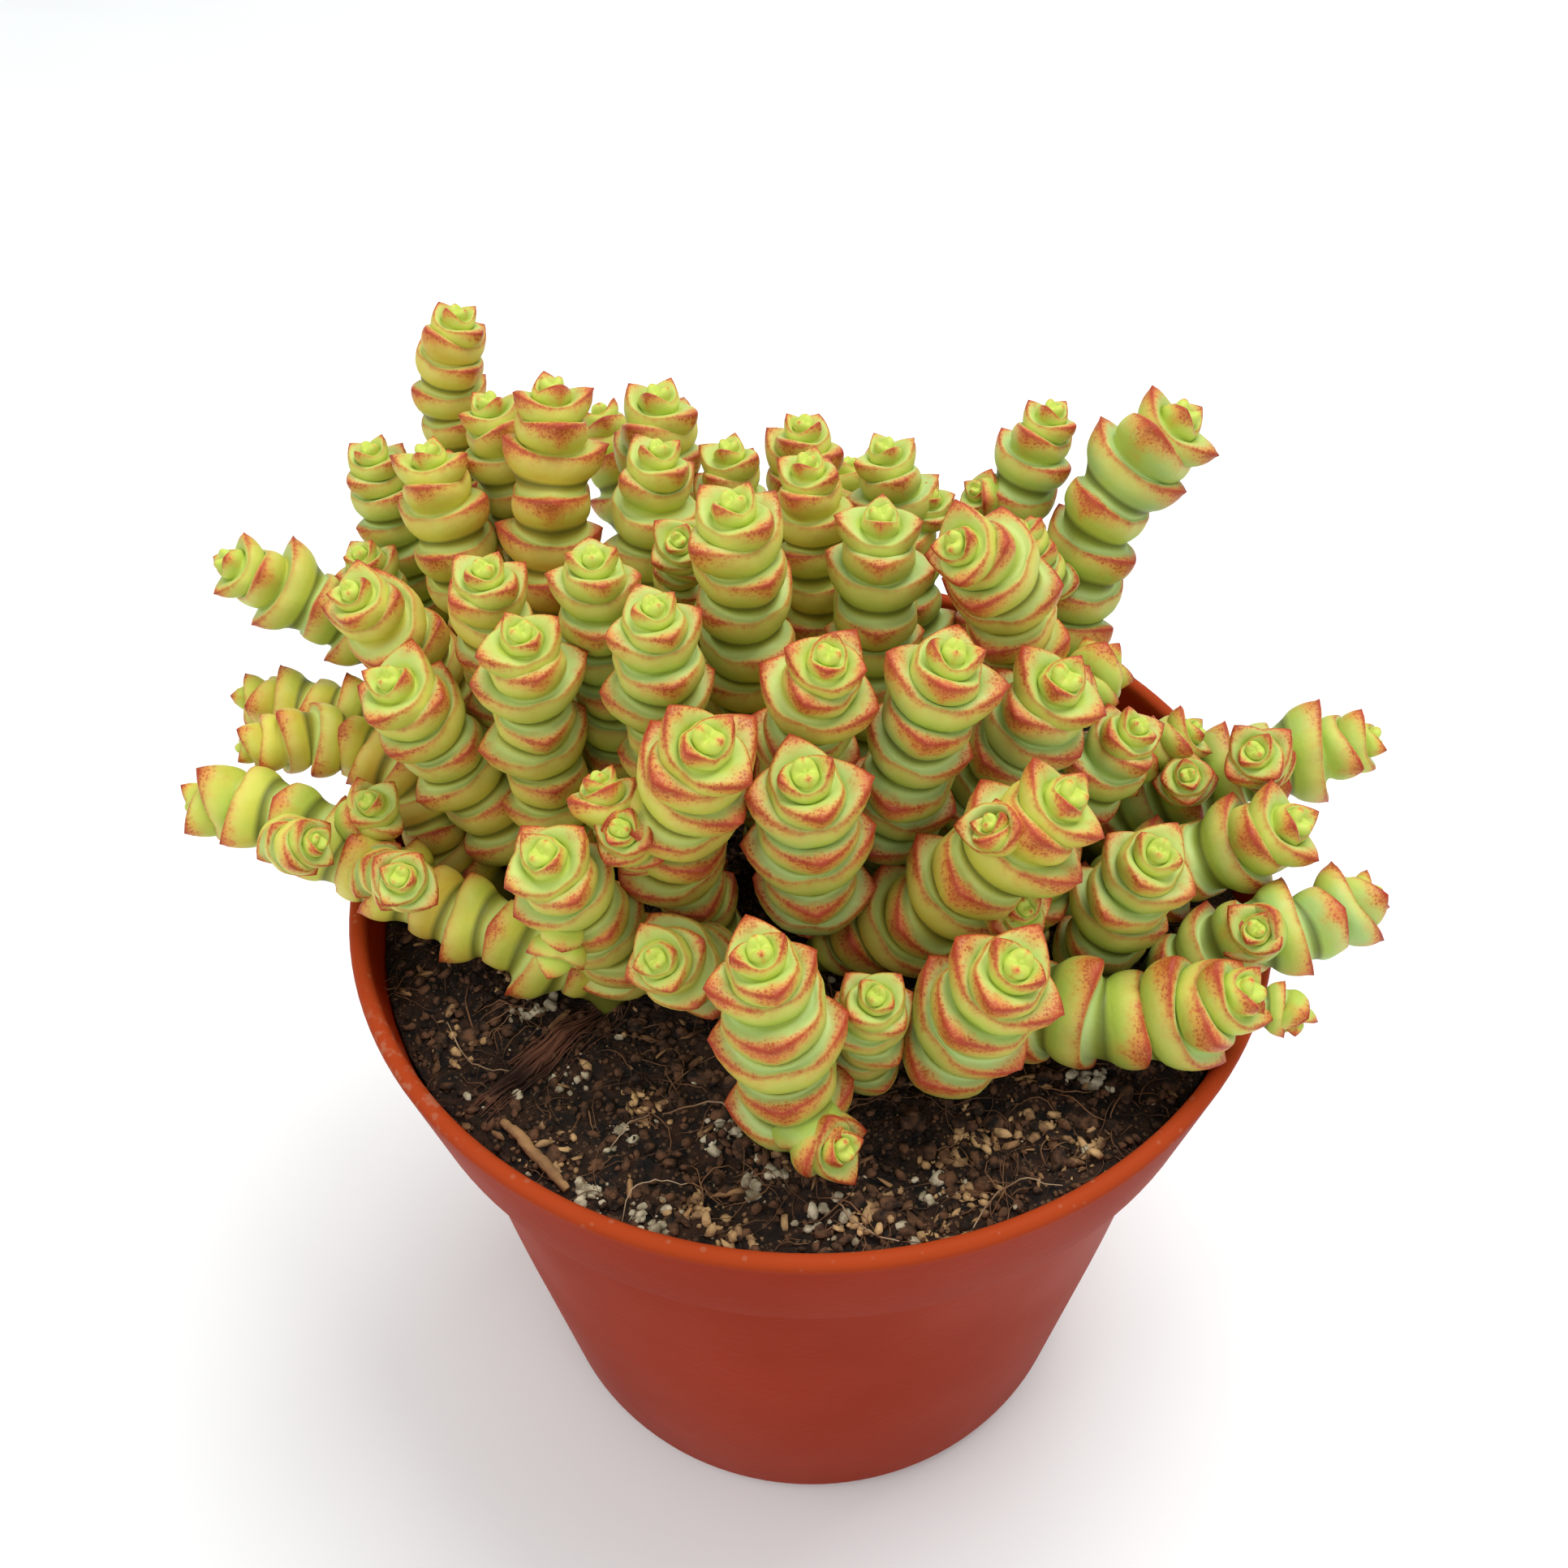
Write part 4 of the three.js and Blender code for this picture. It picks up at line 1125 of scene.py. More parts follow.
@dataclass
class SoilGrains:
    """Scatters one kind of grain over the soil."""

    soil: PottingSoil
    kind: GrainKind
    most_lean: float = 0.6

    def place(self, rng: random.Random, size: float) -> tuple[float, float]:
        """Draws a place on the soil, in a heap or anywhere.

        Args:
            rng: where the random numbers come from.
            size: the room that the grain needs from the soil's edge.

        Returns:
            The place's x and y.
        """
        kind, edge = self.kind, self.soil.edge - size
        if rng.random() < kind.heap_share:
            x, y = rng.choice(kind.heaps)
            x += rng.gauss(0.0, kind.heap_reach / 2)
            y += rng.gauss(0.0, kind.heap_reach / 2)
            inside = min(1.0, edge / math.hypot(x, y))
            return x * inside, y * inside
        reach, angle = edge * math.sqrt(rng.random()), rng.uniform(0.0, math.tau)
        return reach * math.cos(angle), reach * math.sin(angle)

    def grain(self, rng: random.Random) -> bmesh.types.BMesh:
        """Makes one grain in its place.

        Args:
            rng: where the random numbers come from.

        Returns:
            The grain's mesh.
        """
        kind = self.kind
        bm = bmesh.new()
        bmesh.ops.create_icosphere(bm, subdivisions=kind.detail, radius=1.0)
        for vert in bm.verts:
            vert.co *= 1.0 + either_way(rng, kind.jitter)
        size = rng.random() ** 2 * (kind.size[1] - kind.size[0]) + kind.size[0]
        shape = Vector((size * rng.uniform(*kind.stretch), size, size * rng.uniform(*kind.flatness)))
        x, y = self.place(rng, shape.x)
        z = self.soil.height(x, y) + shape.z * (1.0 - 2.0 * kind.sunk)
        axis = Vector((rng.gauss(0, 1), rng.gauss(0, 1), 0.0)).normalized()
        lean = Quaternion(axis, rng.uniform(0.0, self.most_lean))
        spin = Quaternion((0, 0, 1), rng.uniform(0.0, math.tau))
        place = Matrix.LocRotScale(Vector((x, y, z)) * MM, lean @ spin, shape * MM)
        bmesh.ops.transform(bm, matrix=place, verts=bm.verts[:])
        return bm

    def build(self) -> bpy.types.Object:
        """Makes all the grains as one piece."""
        rng = random.Random(self.kind.name)
        whole = bmesh.new()
        carrier = bpy.data.meshes.new("grain")
        for _ in range(self.kind.count):
            one = self.grain(rng)
            one.to_mesh(carrier)
            one.free()
            whole.from_mesh(carrier)
        bpy.data.meshes.remove(carrier)
        piece = new_piece(self.kind.name, whole, self.soil.finishes.earth[self.kind.finish])
        return dress(piece, "soil")


@dataclass
class Strands:
    """Thin round strands drawn along lines, as one mesh."""

    name: str
    lines: list[list[tuple[Vector, float]]] = field(default_factory=list)

    def add(self, line: list[tuple[Vector, float]]) -> None:
        """Adds a strand's (place, radius) points, in millimetres."""
        self.lines.append(line)

    def piece(self, material: bpy.types.Material, smoothness: int = 0) -> bpy.types.Object:
        """Turns the strands into a closed mesh of its own.

        Args:
            material: its finish.
            smoothness: 0 for four sides round, and two more with each step.

        Returns:
            The new object.
        """
        curve = bpy.data.curves.new(self.name, "CURVE")
        curve.dimensions = "3D"
        curve.bevel_depth = MM
        curve.bevel_resolution = smoothness
        curve.use_fill_caps = True
        for line in self.lines:
            spline = curve.splines.new("POLY")
            spline.points.add(len(line) - 1)
            for point, (place, radius) in zip(spline.points, line):
                point.co = (*(place * MM), 1.0)
                point.radius = radius
        drawn = bpy.data.objects.new(f"{self.name}_line", curve)
        bpy.context.scene.collection.objects.link(drawn)
        mesh = bpy.data.meshes.new_from_object(drawn.evaluated_get(bpy.context.evaluated_depsgraph_get()))
        bpy.data.objects.remove(drawn)
        bm = bmesh.new()
        bm.from_mesh(mesh)
        bpy.data.meshes.remove(mesh)
        return dress(new_piece(self.name, bm, material), "soil")


@dataclass
class PeatFibres:
    """The fibres, rootlets, bundle and twig that lie on the soil."""

    soil: PottingSoil
    count: int = 900
    points: int = 9
    length: tuple[float, float] = (2.5, 12.0)
    thickness: tuple[float, float] = (0.03, 0.1)
    humps: tuple[float, float] = (0.1, 0.9)
    bending: float = 0.3
    lift: float = 0.12
    start_margin: float = 1.5
    turning_margin: float = 0.6
    bundle: tuple[Point, ...] = ((-21.5, -15.5), (-25.5, -20.0), (-30.0, -25.5), (-35.0, -31.5))
    bundle_fibres: int = 110
    bundle_spread: float = 0.9
    bundle_drift: float = 0.8
    bundle_steps: int = 16
    shortest_in_bundle: int = 3
    bundle_thickness: tuple[float, float] = (0.05, 0.13)
    bundle_height: tuple[float, float] = (0.1, 1.1)
    twig: tuple[Point, ...] = ((-31.8, -32.6), (-29.2, -35.4), (-26.6, -38.2), (-24.4, -40.6))
    twig_radius: float = 0.62
    twig_lift: float = 0.75
    twig_steps: int = 18
    rootlet_radius: float = 0.07
    rootlet_growth: float = 0.02
    rootlet_lift: float = 0.9
    rootlets: tuple[tuple[Point, ...], ...] = (
        ((-12.5, -39.5), (-15.5, -39.2), (-18.0, -41.0), (-18.6, -44.5)),
        ((15.0, -46.2), (17.5, -42.4), (21.0, -39.8), (25.0, -40.4)),
        ((-15.5, -31.5), (-10.0, -30.6), (-5.5, -32.0)),
        ((-20.5, -35.8), (-18.6, -32.8), (-16.8, -31.6)),
        ((-39.5, -20.0), (-36.0, -25.5), (-30.5, -26.0)),
        ((2.0, -41.5), (4.5, -44.8), (8.5, -46.4)),
    )

    def wander(self, rng: random.Random) -> list[tuple[Vector, float]]:
        """Draws a fibre that wanders over the soil, thinner towards both of its ends.

        Args:
            rng: where the random numbers come from.

        Returns:
            The (place, radius) points of the fibre.
        """
        length, thick = rng.uniform(*self.length), rng.uniform(*self.thickness)
        hump = rng.uniform(*self.humps)
        reach = (self.soil.edge - self.start_margin) * math.sqrt(rng.random())
        angle, heading = rng.uniform(0.0, math.tau), rng.uniform(0.0, math.tau)
        x, y = reach * math.cos(angle), reach * math.sin(angle)
        bend = either_way(rng, self.bending)
        line = []
        for index in range(self.points):
            share = index / (self.points - 1)
            if math.hypot(x, y) > self.soil.edge - self.turning_margin:
                heading += math.pi / 2
            lifted = self.soil.height(x, y) + self.lift + hump * math.sin(math.pi * share) ** 2
            line.append((Vector((x, y, lifted)), thick * swelling(share, 0.35)))
            heading += bend + either_way(rng, self.bending)
            x += math.cos(heading) * length / self.points
            y += math.sin(heading) * length / self.points
        return line

    def route(self, places: tuple[Point, ...], steps: int) -> list[Vector]:
        """Points along the smooth curve over the soil through some places."""
        flat = np.array([(*place, 0.0) for place in places], float)
        return [Vector(point) for point in smooth_curve(flat, steps)]

    def bundle_strand(self, rng: random.Random, course: list[Vector]) -> list[tuple[Vector, float]]:
        """Draws one fibre of the bundle along a part of its course.

        Args:
            rng: where the random numbers come from.
            course: the bundle's course over the soil.

        Returns:
            The (place, radius) points of the fibre.
        """
        first = rng.randint(0, len(course) // 2)
        last = rng.randint(first + self.shortest_in_bundle, len(course) - 1)
        aside = rng.gauss(0.0, self.bundle_spread)
        drift = rng.gauss(0.0, self.bundle_spread * self.bundle_drift)
        thick, raised = rng.uniform(*self.bundle_thickness), rng.uniform(*self.bundle_height)
        line = []
        for index in range(first, last + 1):
            share = (index - first) / (last - first)
            along = (course[min(index + 1, len(course) - 1)] - course[max(0, index - 1)]).normalized()
            place = course[index] + Vector((-along.y, along.x, 0.0)) * (aside + drift * share)
            place.z = self.soil.height(place.x, place.y) + raised * swelling(share, 0.4)
            line.append((place, thick * swelling(share, 0.4)))
        return line

    def laid(self, places: tuple[Point, ...], radius: float, lift: float,
             steps: int = 14) -> list[tuple[Vector, float]]:
        """Lays one strand along its places, its middle raised a little.

        Args:
            places: where on the soil it passes.
            radius: its radius half-way along.
            lift: how high its middle lies over the soil.
            steps: the number of steps along it.

        Returns:
            The (place, radius) points of the strand.
        """
        line = []
        for index, place in enumerate(self.route(places, steps)):
            share = index / steps
            place.z = self.soil.height(place.x, place.y) + lift * swelling(share, 0.6)
            line.append((place, radius * swelling(share, 0.7)))
        return line

    def knotted(self, line: list[tuple[Vector, float]]) -> list[tuple[Vector, float]]:
        """Gives a twig's line its small bends and knots.

        Args:
            line: the twig's (place, radius) points.

        Returns:
            The points with their bends and knots.
        """
        bent = []
        for index, (place, radius) in enumerate(line):
            rise = Vector((0.0, 0.0, 0.05 * math.sin(3.0 * index)))
            bent.append((place + rise, radius * (1.0 + 0.1 * math.sin(2.3 * index))))
        return bent

    def build(self) -> None:
        """Makes the loose fibres, the bundle, the twig and the rootlets."""
        rng, earth = random.Random("peat"), self.soil.finishes.earth
        loose = Strands("coir_fibres")
        for _ in range(self.count):
            loose.add(self.wander(rng))
        loose.piece(earth[Earth.COIR])
        bundle, course = Strands("fibre_bundle"), self.route(self.bundle, self.bundle_steps)
        for _ in range(self.bundle_fibres):
            bundle.add(self.bundle_strand(rng, course))
        bundle.piece(earth[Earth.BUNDLE])
        twig = Strands("twig")
        twig.add(self.knotted(self.laid(self.twig, self.twig_radius, self.twig_lift, self.twig_steps)))
        twig.piece(earth[Earth.BARK], 3)
        rootlets = Strands("rootlets")
        for number, places in enumerate(self.rootlets):
            radius = self.rootlet_radius + self.rootlet_growth * (number % 3)
            rootlets.add(self.laid(places, radius, self.rootlet_lift))
        rootlets.piece(earth[Earth.ROOT], 1)


@dataclass(frozen=True)
class RingForm:
    """One ring of a leaf pair, in shares of the leaf radius.

    tip and side are (distance from the axis, height along it) towards a leaf's tip and beside the
    seam between the two leaves, and notch is how deep the seam itself lies. rim, blush and upper
    say how much of the red line, of the warm underside and of the pale upper face it takes; where blush is
    low, the ring takes the painted shade of the grooves instead.
    """

    tip: Point
    side: Point
    rim: float = 0.0
    blush: float = 0.0
    upper: float = 0.0
    crease: float = 0.0
    notch: float = 0.0


GROWN_PAIR = (
    RingForm((0.80, -0.50), (0.70, -0.50), blush=0.1),
    RingForm((0.98, -0.38), (0.79, -0.44), blush=0.45, notch=0.04),
    RingForm((1.08, -0.17), (0.86, -0.28), rim=0.04, blush=0.8, notch=0.10),
    RingForm((1.15, 0.06), (0.87, -0.10), rim=0.40, blush=1.0, notch=0.15),
    RingForm((1.14, 0.23), (0.83, 0.07), rim=1.0, blush=1.0, upper=0.3, crease=0.3, notch=0.16),
    RingForm((0.99, 0.27), (0.74, 0.08), rim=0.22, blush=0.6, upper=1.0, notch=0.10),
    RingForm((0.78, 0.20), (0.66, 0.03), blush=0.3, upper=0.8),
)

YOUNG_PAIR = (
    RingForm((0.70, -0.42), (0.66, -0.44), blush=0.3),
    RingForm((0.92, -0.26), (0.78, -0.36), blush=0.5, notch=0.04),
    RingForm((1.06, -0.04), (0.83, -0.20), rim=0.06, blush=0.8, notch=0.10),
    RingForm((1.13, 0.18), (0.82, -0.05), rim=0.42, blush=1.0, notch=0.15),
    RingForm((1.12, 0.39), (0.76, 0.08), rim=1.0, blush=1.0, upper=0.3, crease=0.2, notch=0.16),
    RingForm((0.94, 0.43), (0.67, 0.10), rim=0.34, blush=0.6, upper=1.0, notch=0.10),
    RingForm((0.66, 0.30), (0.56, 0.05), blush=0.5, upper=0.9),
)

CUPPED_PAIR = (
    RingForm((0.80, -0.20), (0.74, -0.32), blush=0.4),
    RingForm((1.02, 0.04), (0.87, -0.16), blush=0.7, notch=0.06),
    RingForm((1.14, 0.34), (0.90, 0.00), rim=0.10, blush=0.9, notch=0.12),
    RingForm((1.16, 0.62), (0.84, 0.12), rim=0.6, blush=1.0, notch=0.16),
    RingForm((1.06, 0.84), (0.74, 0.20), rim=1.0, blush=1.0, upper=0.3, crease=0.2, notch=0.16),
    RingForm((0.84, 0.80), (0.64, 0.20), rim=0.30, blush=0.6, upper=1.0, notch=0.08),
    RingForm((0.62, 0.58), (0.55, 0.16), blush=0.6, upper=0.9),
)

BUD_PAIR = (
    RingForm((0.86, -0.20), (0.80, -0.30), blush=0.5),
    RingForm((1.06, 0.16), (0.90, -0.02), blush=0.7),
    RingForm((1.08, 0.62), (0.80, 0.24), blush=0.6),
    RingForm((0.88, 0.98), (0.46, 0.38), rim=0.4, blush=0.8),
    RingForm((0.46, 0.98), (0.08, 0.32), rim=0.1, blush=0.5),
)


@dataclass(frozen=True)
class Outline:
    """A leaf's outline from its tip to its seam: what its corners have of the tip's form."""

    out: tuple[float, ...]
    up: tuple[float, ...]
    point: tuple[float, ...]


class Leaf(Enum):
    """The outlines of the leaves, the way that each opens from its tip to its seam."""

    FLAT = Outline((1.0, 0.38, 0.12, 0.06, 0.0), (1.0, 0.55, 0.25, 0.08, 0.0), (1.0, 0.5, 0.2, 0.06, 0.0))
    RAISED = Outline((1.0, 0.30, 0.10, 0.06, 0.0), (1.0, 0.74, 0.46, 0.18, 0.0), (1.0, 0.5, 0.2, 0.06, 0.0))
    STAR = Outline((1.0, 0.40, 0.12, 0.04, 0.0), (1.0, 0.72, 0.40, 0.14, 0.0), (1.0, 0.5, 0.2, 0.06, 0.0))
    LOBE = Outline((1.0, 0.96, 0.78, 0.38, 0.0), (1.0, 0.94, 0.72, 0.30, 0.0), (1.0, 0.3, 0.0, 0.0, 0.0))


@dataclass(frozen=True)
class Station:
    """One place along a stem, with the directions of its axis."""

    centre: Vector
    along: Vector
    side: Vector
    across: Vector


def stations(line: list[Vector], upright_foot: bool) -> list[Station]:
    """Carries a sideways direction along a line without twisting it.

    Args:
        line: the line's points, in metres.
        upright_foot: whether it leaves its first point straight up.

    Returns:
        One station for each point.
    """
    last = len(line) - 1
    tangents = [(line[min(last, i + 1)] - line[max(0, i - 1)]).normalized() for i in range(last + 1)]
    if upright_foot:
        tangents[0] = Vector((0.0, 0.0, 1.0))
    side = Vector((1.0, 0.0, 0.0))
    side = (side - tangents[0] * side.dot(tangents[0])).normalized()
    made = []
    for index, tangent in enumerate(tangents):
        if index > 0:
            side = tangents[index - 1].rotation_difference(tangent) @ side
        made.append(Station(line[index], tangent, side, tangent.cross(side)))
    return made


@dataclass(frozen=True)
class RingLook:
    """What the rings of one leaf pair share, beside their forms.

    size is the leaf radius in metres, turn the angle of the stem's first leaf tip, and pair the
    number of the leaf pair from the stem's foot. age goes from 0 at the bud to 1 on grown leaves,
    tips says how long each of the two leaves is, and tone how warm their colour is.
    """

    size: float
    turn: float
    pair: int = 0
    leaf: Leaf = Leaf.FLAT
    age: float = 1.0
    tips: tuple[float, float] = (1.0, 1.0)
    tone: float = 0.0


LAYER_NAMES = ("rim", "blush", "upper", "point", "age", "tone", "redness")
# The bare stalk takes little blush, so it is coloured with the painted groove shade.
ROUND_STALK = RingForm((1.0, 0.0), (1.0, 0.0), blush=0.1)


@dataclass
class SkinBuilder:
    """Draws one stem's skin up through its rings, from the foot to the bud."""

    bm: bmesh.types.BMesh
    redness: float
    sides: int = 16
    twist: float = math.radians(3.0)
    tip_crease: float = 0.45

    def __post_init__(self) -> None:
        """Finds or makes the mesh's layers."""
        floats = self.bm.verts.layers.float
        self.layers = {name: floats.get(name) or floats.new(name) for name in LAYER_NAMES}
        self.column = self.bm.verts.layers.int.get("column") or self.bm.verts.layers.int.new("column")
        creases = self.bm.edges.layers.float
        self.crease = creases.get("crease_edge") or creases.new("crease_edge")
        self.sharp_tip = floats.get("crease_vert") or floats.new("crease_vert")
        self.ring: list[bmesh.types.BMEdge] = []

    def start(self) -> list[bmesh.types.BMVert]:
        """Makes the round foot, closed below.

        Returns:
            The corners of its ring.
        """
        verts = bmesh.ops.create_circle(self.bm, cap_ends=True, segments=self.sides, radius=1.0)["verts"]
        for vert in verts:
            share = math.atan2(vert.co.y, vert.co.x) / math.tau
            vert[self.column] = round(share * self.sides) % self.sides
        self.ring = list({e for v in verts for e in v.link_edges})
        return verts

    def extrude(self) -> list[bmesh.types.BMVert]:
        """Draws the open edge on by one ring.

        Returns:
            The corners of the new ring.
        """
        drawn = bmesh.ops.extrude_edge_only(self.bm, edges=self.ring)["geom"]
        verts = [g for g in drawn if isinstance(g, bmesh.types.BMVert)]
        fresh = set(verts)
        self.ring = [e for e in {e for v in verts for e in v.link_edges} if set(e.verts) <= fresh]
        return verts

    def put(self, verts: list[bmesh.types.BMVert], station: Station, form: RingForm, look: RingLook) -> None:
        """Moves a ring's corners to their places and gives them their numbers.

        Args:
            verts: the ring's corners.
            station: the place on the stem.
            form: the ring's form.
            look: what it shares with the other rings of its pair.
        """
        half = self.sides // 2
        outline = look.leaf.value
        for vert in verts:
            number = (vert[self.column] - look.pair * self.sides // 4) % self.sides
            away = min(number % half, half - number % half)
            length = look.tips[0] if min(number, self.sides - number) <= half // 2 else look.tips[1]
            out = form.side[0] + (form.tip[0] * length - form.side[0]) * outline.out[away]
            if away == half // 2:
                out *= 1.0 - form.notch
            up = form.side[1] + (form.tip[1] - form.side[1]) * outline.up[away]
            angle = look.turn + look.pair * self.twist + vert[self.column] * math.tau / self.sides
            sideways = station.side * math.cos(angle) + station.across * math.sin(angle)
            vert.co = station.centre + (sideways * out + station.along * up) * look.size
            values = {"rim": form.rim, "blush": form.blush, "upper": form.upper, "age": look.age,
                      "point": outline.point[away], "tone": look.tone, "redness": self.redness}
            for name, value in values.items():
                vert[self.layers[name]] = value
            vert[self.sharp_tip] = self.tip_crease if away == 0 and form.crease > 0.0 else 0.0
        for edge in self.ring:
            edge[self.crease] = form.crease

    def close(self, station: Station, size: float, height: float) -> None:
        """Closes the bud over with a cleft between its two leaves.

        Args:
            station: the bud's place on the stem.
            size: the bud's leaf radius, in metres.
            height: how high the cleft's foot lies, as a share of it.
        """
        face = bmesh.ops.contextual_create(self.bm, geom=self.ring)["faces"][0]
        centre = bmesh.ops.poke(self.bm, faces=[face])["verts"][0]
        centre.co = station.centre + station.along * size * height
        centre[self.layers["redness"]] = self.redness


@dataclass(frozen=True)
class Pair:
    """A leaf pair: its place in millimetres, its size as a share of the leaf radius, its age and form."""

    place: np.ndarray
    share: float
    age: float
    rings: tuple[RingForm, ...]
    leaf: Leaf


@dataclass(frozen=True)
class TipPair:
    """A leaf pair near the tip: how far it lies from the tip, in leaf radii, and how it looks."""

    depth: float
    share: float
    age: float
    rings: tuple[RingForm, ...]
    leaf: Leaf


TIP_PAIRS = (
    TipPair(0.12, 0.25, 0.0, BUD_PAIR, Leaf.LOBE),
    TipPair(0.27, 0.48, 0.25, CUPPED_PAIR, Leaf.RAISED),
    TipPair(0.44, 0.82, 0.55, YOUNG_PAIR, Leaf.STAR),
    TipPair(0.80, 0.97, 0.8, YOUNG_PAIR, Leaf.STAR),
)


@dataclass(frozen=True)
class Sprig:
    """A stem or a side shoot as it is drawn.

    name is what its random draws are seeded with, turn the angle in degrees of the first leaf tip
    of the solids' lowest pair, stalk the points of its bare stalk in millimetres, pairs its leaf
    pairs from the lowest up, and older how many of them lie below the solids' lowest pair.
    """

    name: str
    radius: float
    turn: float
    stalk: list[np.ndarray]
    stalk_radius: float
    pairs: list[Pair]
    older: int = 0


@dataclass
class LeafyStem:
    """A stem with its side shoots, dressed in fine leaf pairs."""

    clump: Clump
    grown: GrownStem
    finishes: Finishes
    size_spread: float = 0.05
    turn_spread: float = 9.0
    tilt_spread: float = 9.0
    tip_spread: float = 0.09
    openness: tuple[float, float] = (0.84, 1.03)
    shoot_openness: tuple[float, float] = (1.05, 1.2)
    bud_cleft: float = 0.2
    foot_warmth_after: float = 9.0
    tone_spread: float = 0.15
    redness_spread: float = 0.1
    bud_age: float = 0.5
    bud_looseness: float = 0.35
    shoot_bare: float = 0.8
    shoot_stalk: float = 0.42

    def pairs(self, points: np.ndarray, radius: float, older: list[tuple[np.ndarray, float]],
              openness: float) -> list[Pair]:
        """Says where the pairs are and which form each has.

        Args:
            points: the places of the solids' pairs, tip first.
            radius: the leaf radius.
            older: (place, share of the leaf radius) of the pairs further down, from the top.
            openness: how wide the rosette at the tip opens, 1 as usual.

        Returns:
            The pairs from the stem's foot to its bud.
        """
        travelled = np.concatenate([[0.0], np.cumsum(np.linalg.norm(np.diff(points, axis=0), axis=1))])
        made = []
        for tip in TIP_PAIRS:
            place = np.array([np.interp(tip.depth * radius, travelled, points[:, k]) for k in range(3)])
            made.append(Pair(place, tip.share * openness, tip.age, tip.rings, tip.leaf))
        grown = [(place, 1.0) for place in points[len(self.clump.young_sizes):]]
        made += [Pair(place, share, 1.0, GROWN_PAIR, Leaf.FLAT) for place, share in grown + older]
        return made[::-1]

    def tilted(self, station: Station, rng: random.Random, most: float) -> Station:
        """A station leaned a little to a side of its own.

        Args:
            station: the station.
            rng: where the random numbers come from.
            most: the widest lean, in degrees.

        Returns:
            The leaned station.
        """
        axis = station.side * rng.gauss(0, 1) + station.across * rng.gauss(0, 1)
        lean = Quaternion(axis.normalized(), math.radians(rng.uniform(0.0, most)))
        return Station(station.centre, lean @ station.along, lean @ station.side, lean @ station.across)

    def skin(self, bm: bmesh.types.BMesh, sprig: Sprig) -> None:
        """Draws one stem or side shoot.

        Args:
            bm: the mesh that it goes into.
            sprig: its stalk and its leaf pairs.
        """
        rng = random.Random(sprig.name)
        tip_warmth, foot_warmth, redness = self.grown.plan.tint.value
        builder = SkinBuilder(bm, redness + either_way(rng, self.redness_spread))
        line = [Vector(p) * MM for p in [*sprig.stalk, *(pair.place for pair in sprig.pairs)]]
        places = stations(line, len(sprig.stalk) > 1)
        start = math.radians(sprig.turn)
        bare = RingLook(sprig.stalk_radius * MM, start, tone=foot_warmth)
        verts = builder.start()
        for index in range(len(sprig.stalk)):
            if index > 0:
                verts = builder.extrude()
            builder.put(verts, places[index], ROUND_STALK, bare)
        for index, pair in enumerate(sprig.pairs):
            loose = self.bud_looseness if pair.age < self.bud_age else 1.0
            size = sprig.radius * pair.share * MM * (1.0 + loose * either_way(rng, self.size_spread))
            swing = math.radians(either_way(rng, self.turn_spread))
            station = self.tilted(places[len(sprig.stalk) + index], rng, loose * self.tilt_spread)
            tips = (1.0 + either_way(rng, self.tip_spread), 1.0 + either_way(rng, self.tip_spread))
            depth = min(1.0, (len(sprig.pairs) - 1 - index) / self.foot_warmth_after)
            tone = tip_warmth + (foot_warmth - tip_warmth) * depth + either_way(rng, self.tone_spread)
            look = RingLook(size, start + swing, index - sprig.older, pair.leaf, pair.age, tips, tone)
            for form in pair.rings:
                builder.put(builder.extrude(), station, form, look)
        builder.close(station, size, self.bud_cleft)

    def build(self) -> bpy.types.Object:
        """Draws the stem and its shoots as one piece."""
        plan, grown = self.grown.plan, self.grown
        bm = bmesh.new()
        foot = np.array([*plan.root, SOIL_TOP - HOLE_DEPTH])
        rng = random.Random(plan.name)
        pairs = self.pairs(grown.points, plan.radius, grown.older, rng.uniform(*self.openness))
        self.skin(bm, Sprig(plan.name, plan.radius, plan.turn, [foot, plan.neck], STALK_RADIUS,
                            pairs, len(grown.older)))
        for number, side in enumerate(plan.shoots + EARLY_BUDS.get(plan.name, ())):
            shift = grown.points[side.joint] - grown.start[side.joint]
            path = np.array([grown.start[side.joint], *side.route], float) + shift
            points = self.clump.from_tip(path, side.radius, plan.radius * self.shoot_bare)
            pairs = self.pairs(points, side.radius, [], rng.uniform(*self.shoot_openness))
            self.skin(bm, Sprig(f"{plan.name}:{number}", side.radius, side.turn, [path[0]],
                                side.radius * self.shoot_stalk, pairs))
        bmesh.ops.recalc_face_normals(bm, faces=bm.faces[:])
        piece = new_piece(f"leaves_{plan.name}", bm, self.finishes.leaf)
        subdivide(piece, 1)
        return dress(piece, "leaf", f"stem_{plan.name}")


@dataclass(frozen=True)
class SoftLight:
    """A square light over the plant, with its place and side in metres and its power in watts."""

    name: str
    place: Point
    power: float
    side: float


SOFT_LIGHTS = (
    SoftLight("key_light", (0.2, 0.2, 0.9), 5.5, 0.55),
    SoftLight("left_light", (-0.6, -0.2, 0.6), 1.7, 0.6),
    SoftLight("front_light", (0.3, -0.7, 0.5), 1.4, 0.6),
)


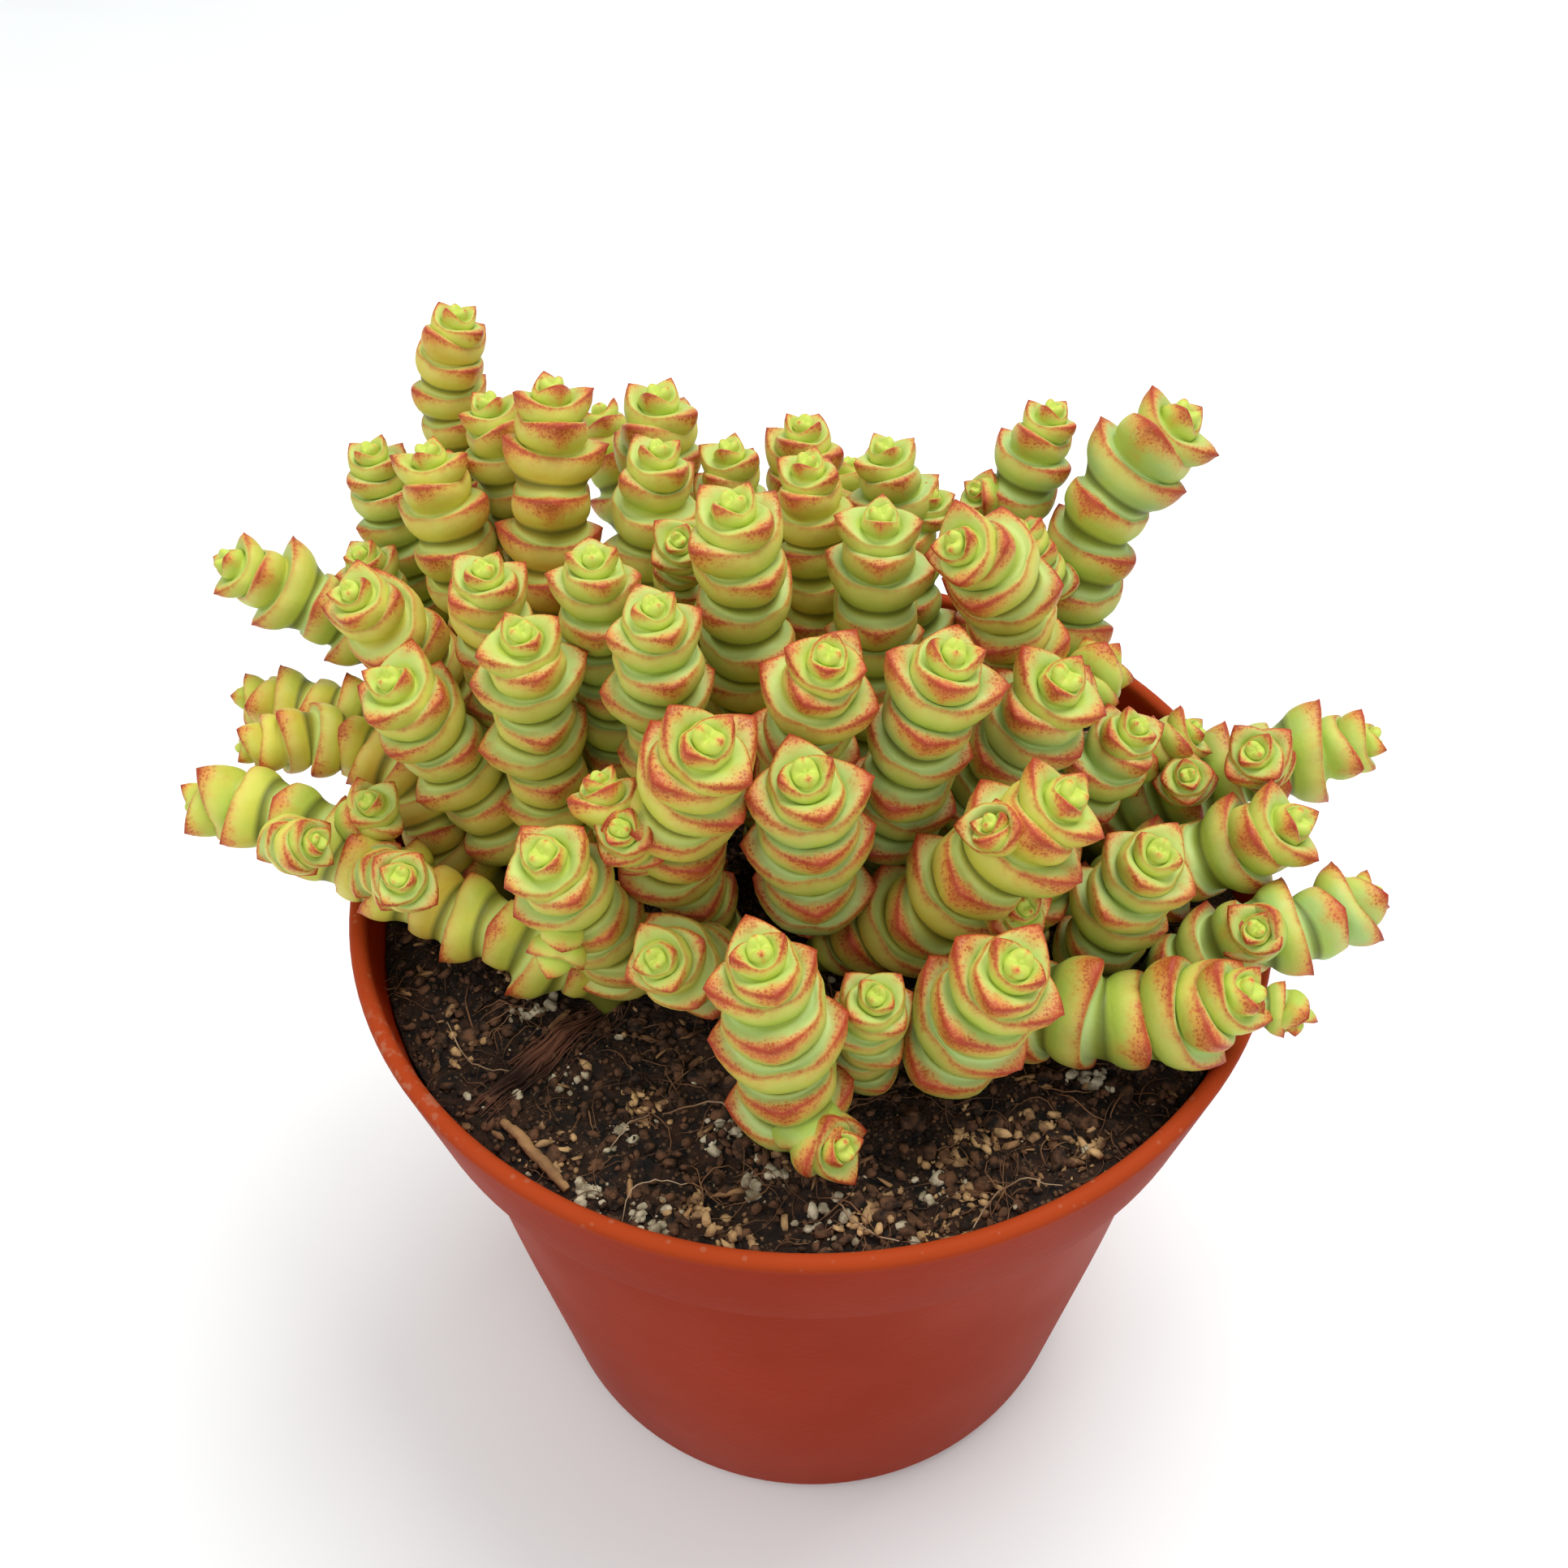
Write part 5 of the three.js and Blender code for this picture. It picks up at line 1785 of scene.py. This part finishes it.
@dataclass
class Studio:
    """The pale floor, the soft lights and the camera of the photograph."""

    finishes: Finishes
    floor_side: float = 6.0
    floor_drop: float = 0.0002
    lit_place: Point = (0.0, 0.0, 0.07)
    camera_place: Point = (0.0, -129.8, 223.7)
    pitch: float = 44.45
    focal_pixels: float = 2035.0
    middle_pixel: float = 1000.0
    sensor: float = 36.0
    nearest_seen: float = 0.01
    sky: float = 0.6

    def build_floor(self) -> None:
        """Lays the paper under the pot."""
        bm = bmesh.new()
        bmesh.ops.create_grid(bm, x_segments=8, y_segments=8, size=self.floor_side / 2)
        floor = new_piece("studio_floor", bm, self.finishes.paper)
        floor.location.z = -self.floor_drop

    def build_light(self, plan: SoftLight) -> None:
        """Hangs one light that shines at the plant.

        Args:
            plan: the light's name, place, power and side.
        """
        light = bpy.data.lights.new(plan.name, "AREA")
        light.energy = plan.power
        light.size = plan.side
        lamp = bpy.data.objects.new(plan.name, light)
        lamp.location = plan.place
        aim = Vector(self.lit_place) - Vector(plan.place)
        lamp.rotation_euler = aim.to_track_quat("-Z", "Y").to_euler()
        bpy.context.scene.collection.objects.link(lamp)

    def build_camera(self) -> None:
        """Stands the camera where the photograph was taken from."""
        camera = bpy.data.cameras.new("camera")
        camera.sensor_width = self.sensor
        camera.lens = self.sensor * self.focal_pixels / IMAGE_SIDE
        camera.shift_x = (IMAGE_SIDE / 2 - self.middle_pixel) / IMAGE_SIDE
        camera.clip_start = self.nearest_seen
        holder = bpy.data.objects.new("camera", camera)
        holder.location = Vector(self.camera_place) * MM
        holder.rotation_euler = (math.radians(90.0 - self.pitch), 0.0, 0.0)
        bpy.context.scene.collection.objects.link(holder)
        bpy.context.scene.camera = holder

    def build(self) -> None:
        """Makes the floor, the lights, the sky and the camera."""
        self.build_floor()
        for plan in SOFT_LIGHTS:
            self.build_light(plan)
        world = bpy.data.worlds.new("studio")
        world.use_nodes = True
        backdrop = world.node_tree.nodes["Background"]
        backdrop.inputs["Color"].default_value = (1.0, 1.0, 1.0, 1.0)
        backdrop.inputs["Strength"].default_value = self.sky
        bpy.context.scene.world = world
        bpy.context.scene.view_settings.view_transform = "Standard"
        self.build_camera()


def main() -> None:
    """Builds every piece in order."""
    logging.basicConfig(level=logging.INFO, format="%(name)s %(message)s")
    finishes = Finishes()
    Studio(finishes).build()
    NurseryPot(finishes).build()
    soil = PottingSoil(finishes)
    soil.build()
    for kind in GRAIN_KINDS:
        SoilGrains(soil, kind).build()
    PeatFibres(soil).build()
    clump = Clump()
    for grown in clump.grow():
        LeafyStem(clump, grown, finishes).build()


if __name__ == "__main__":
    main()
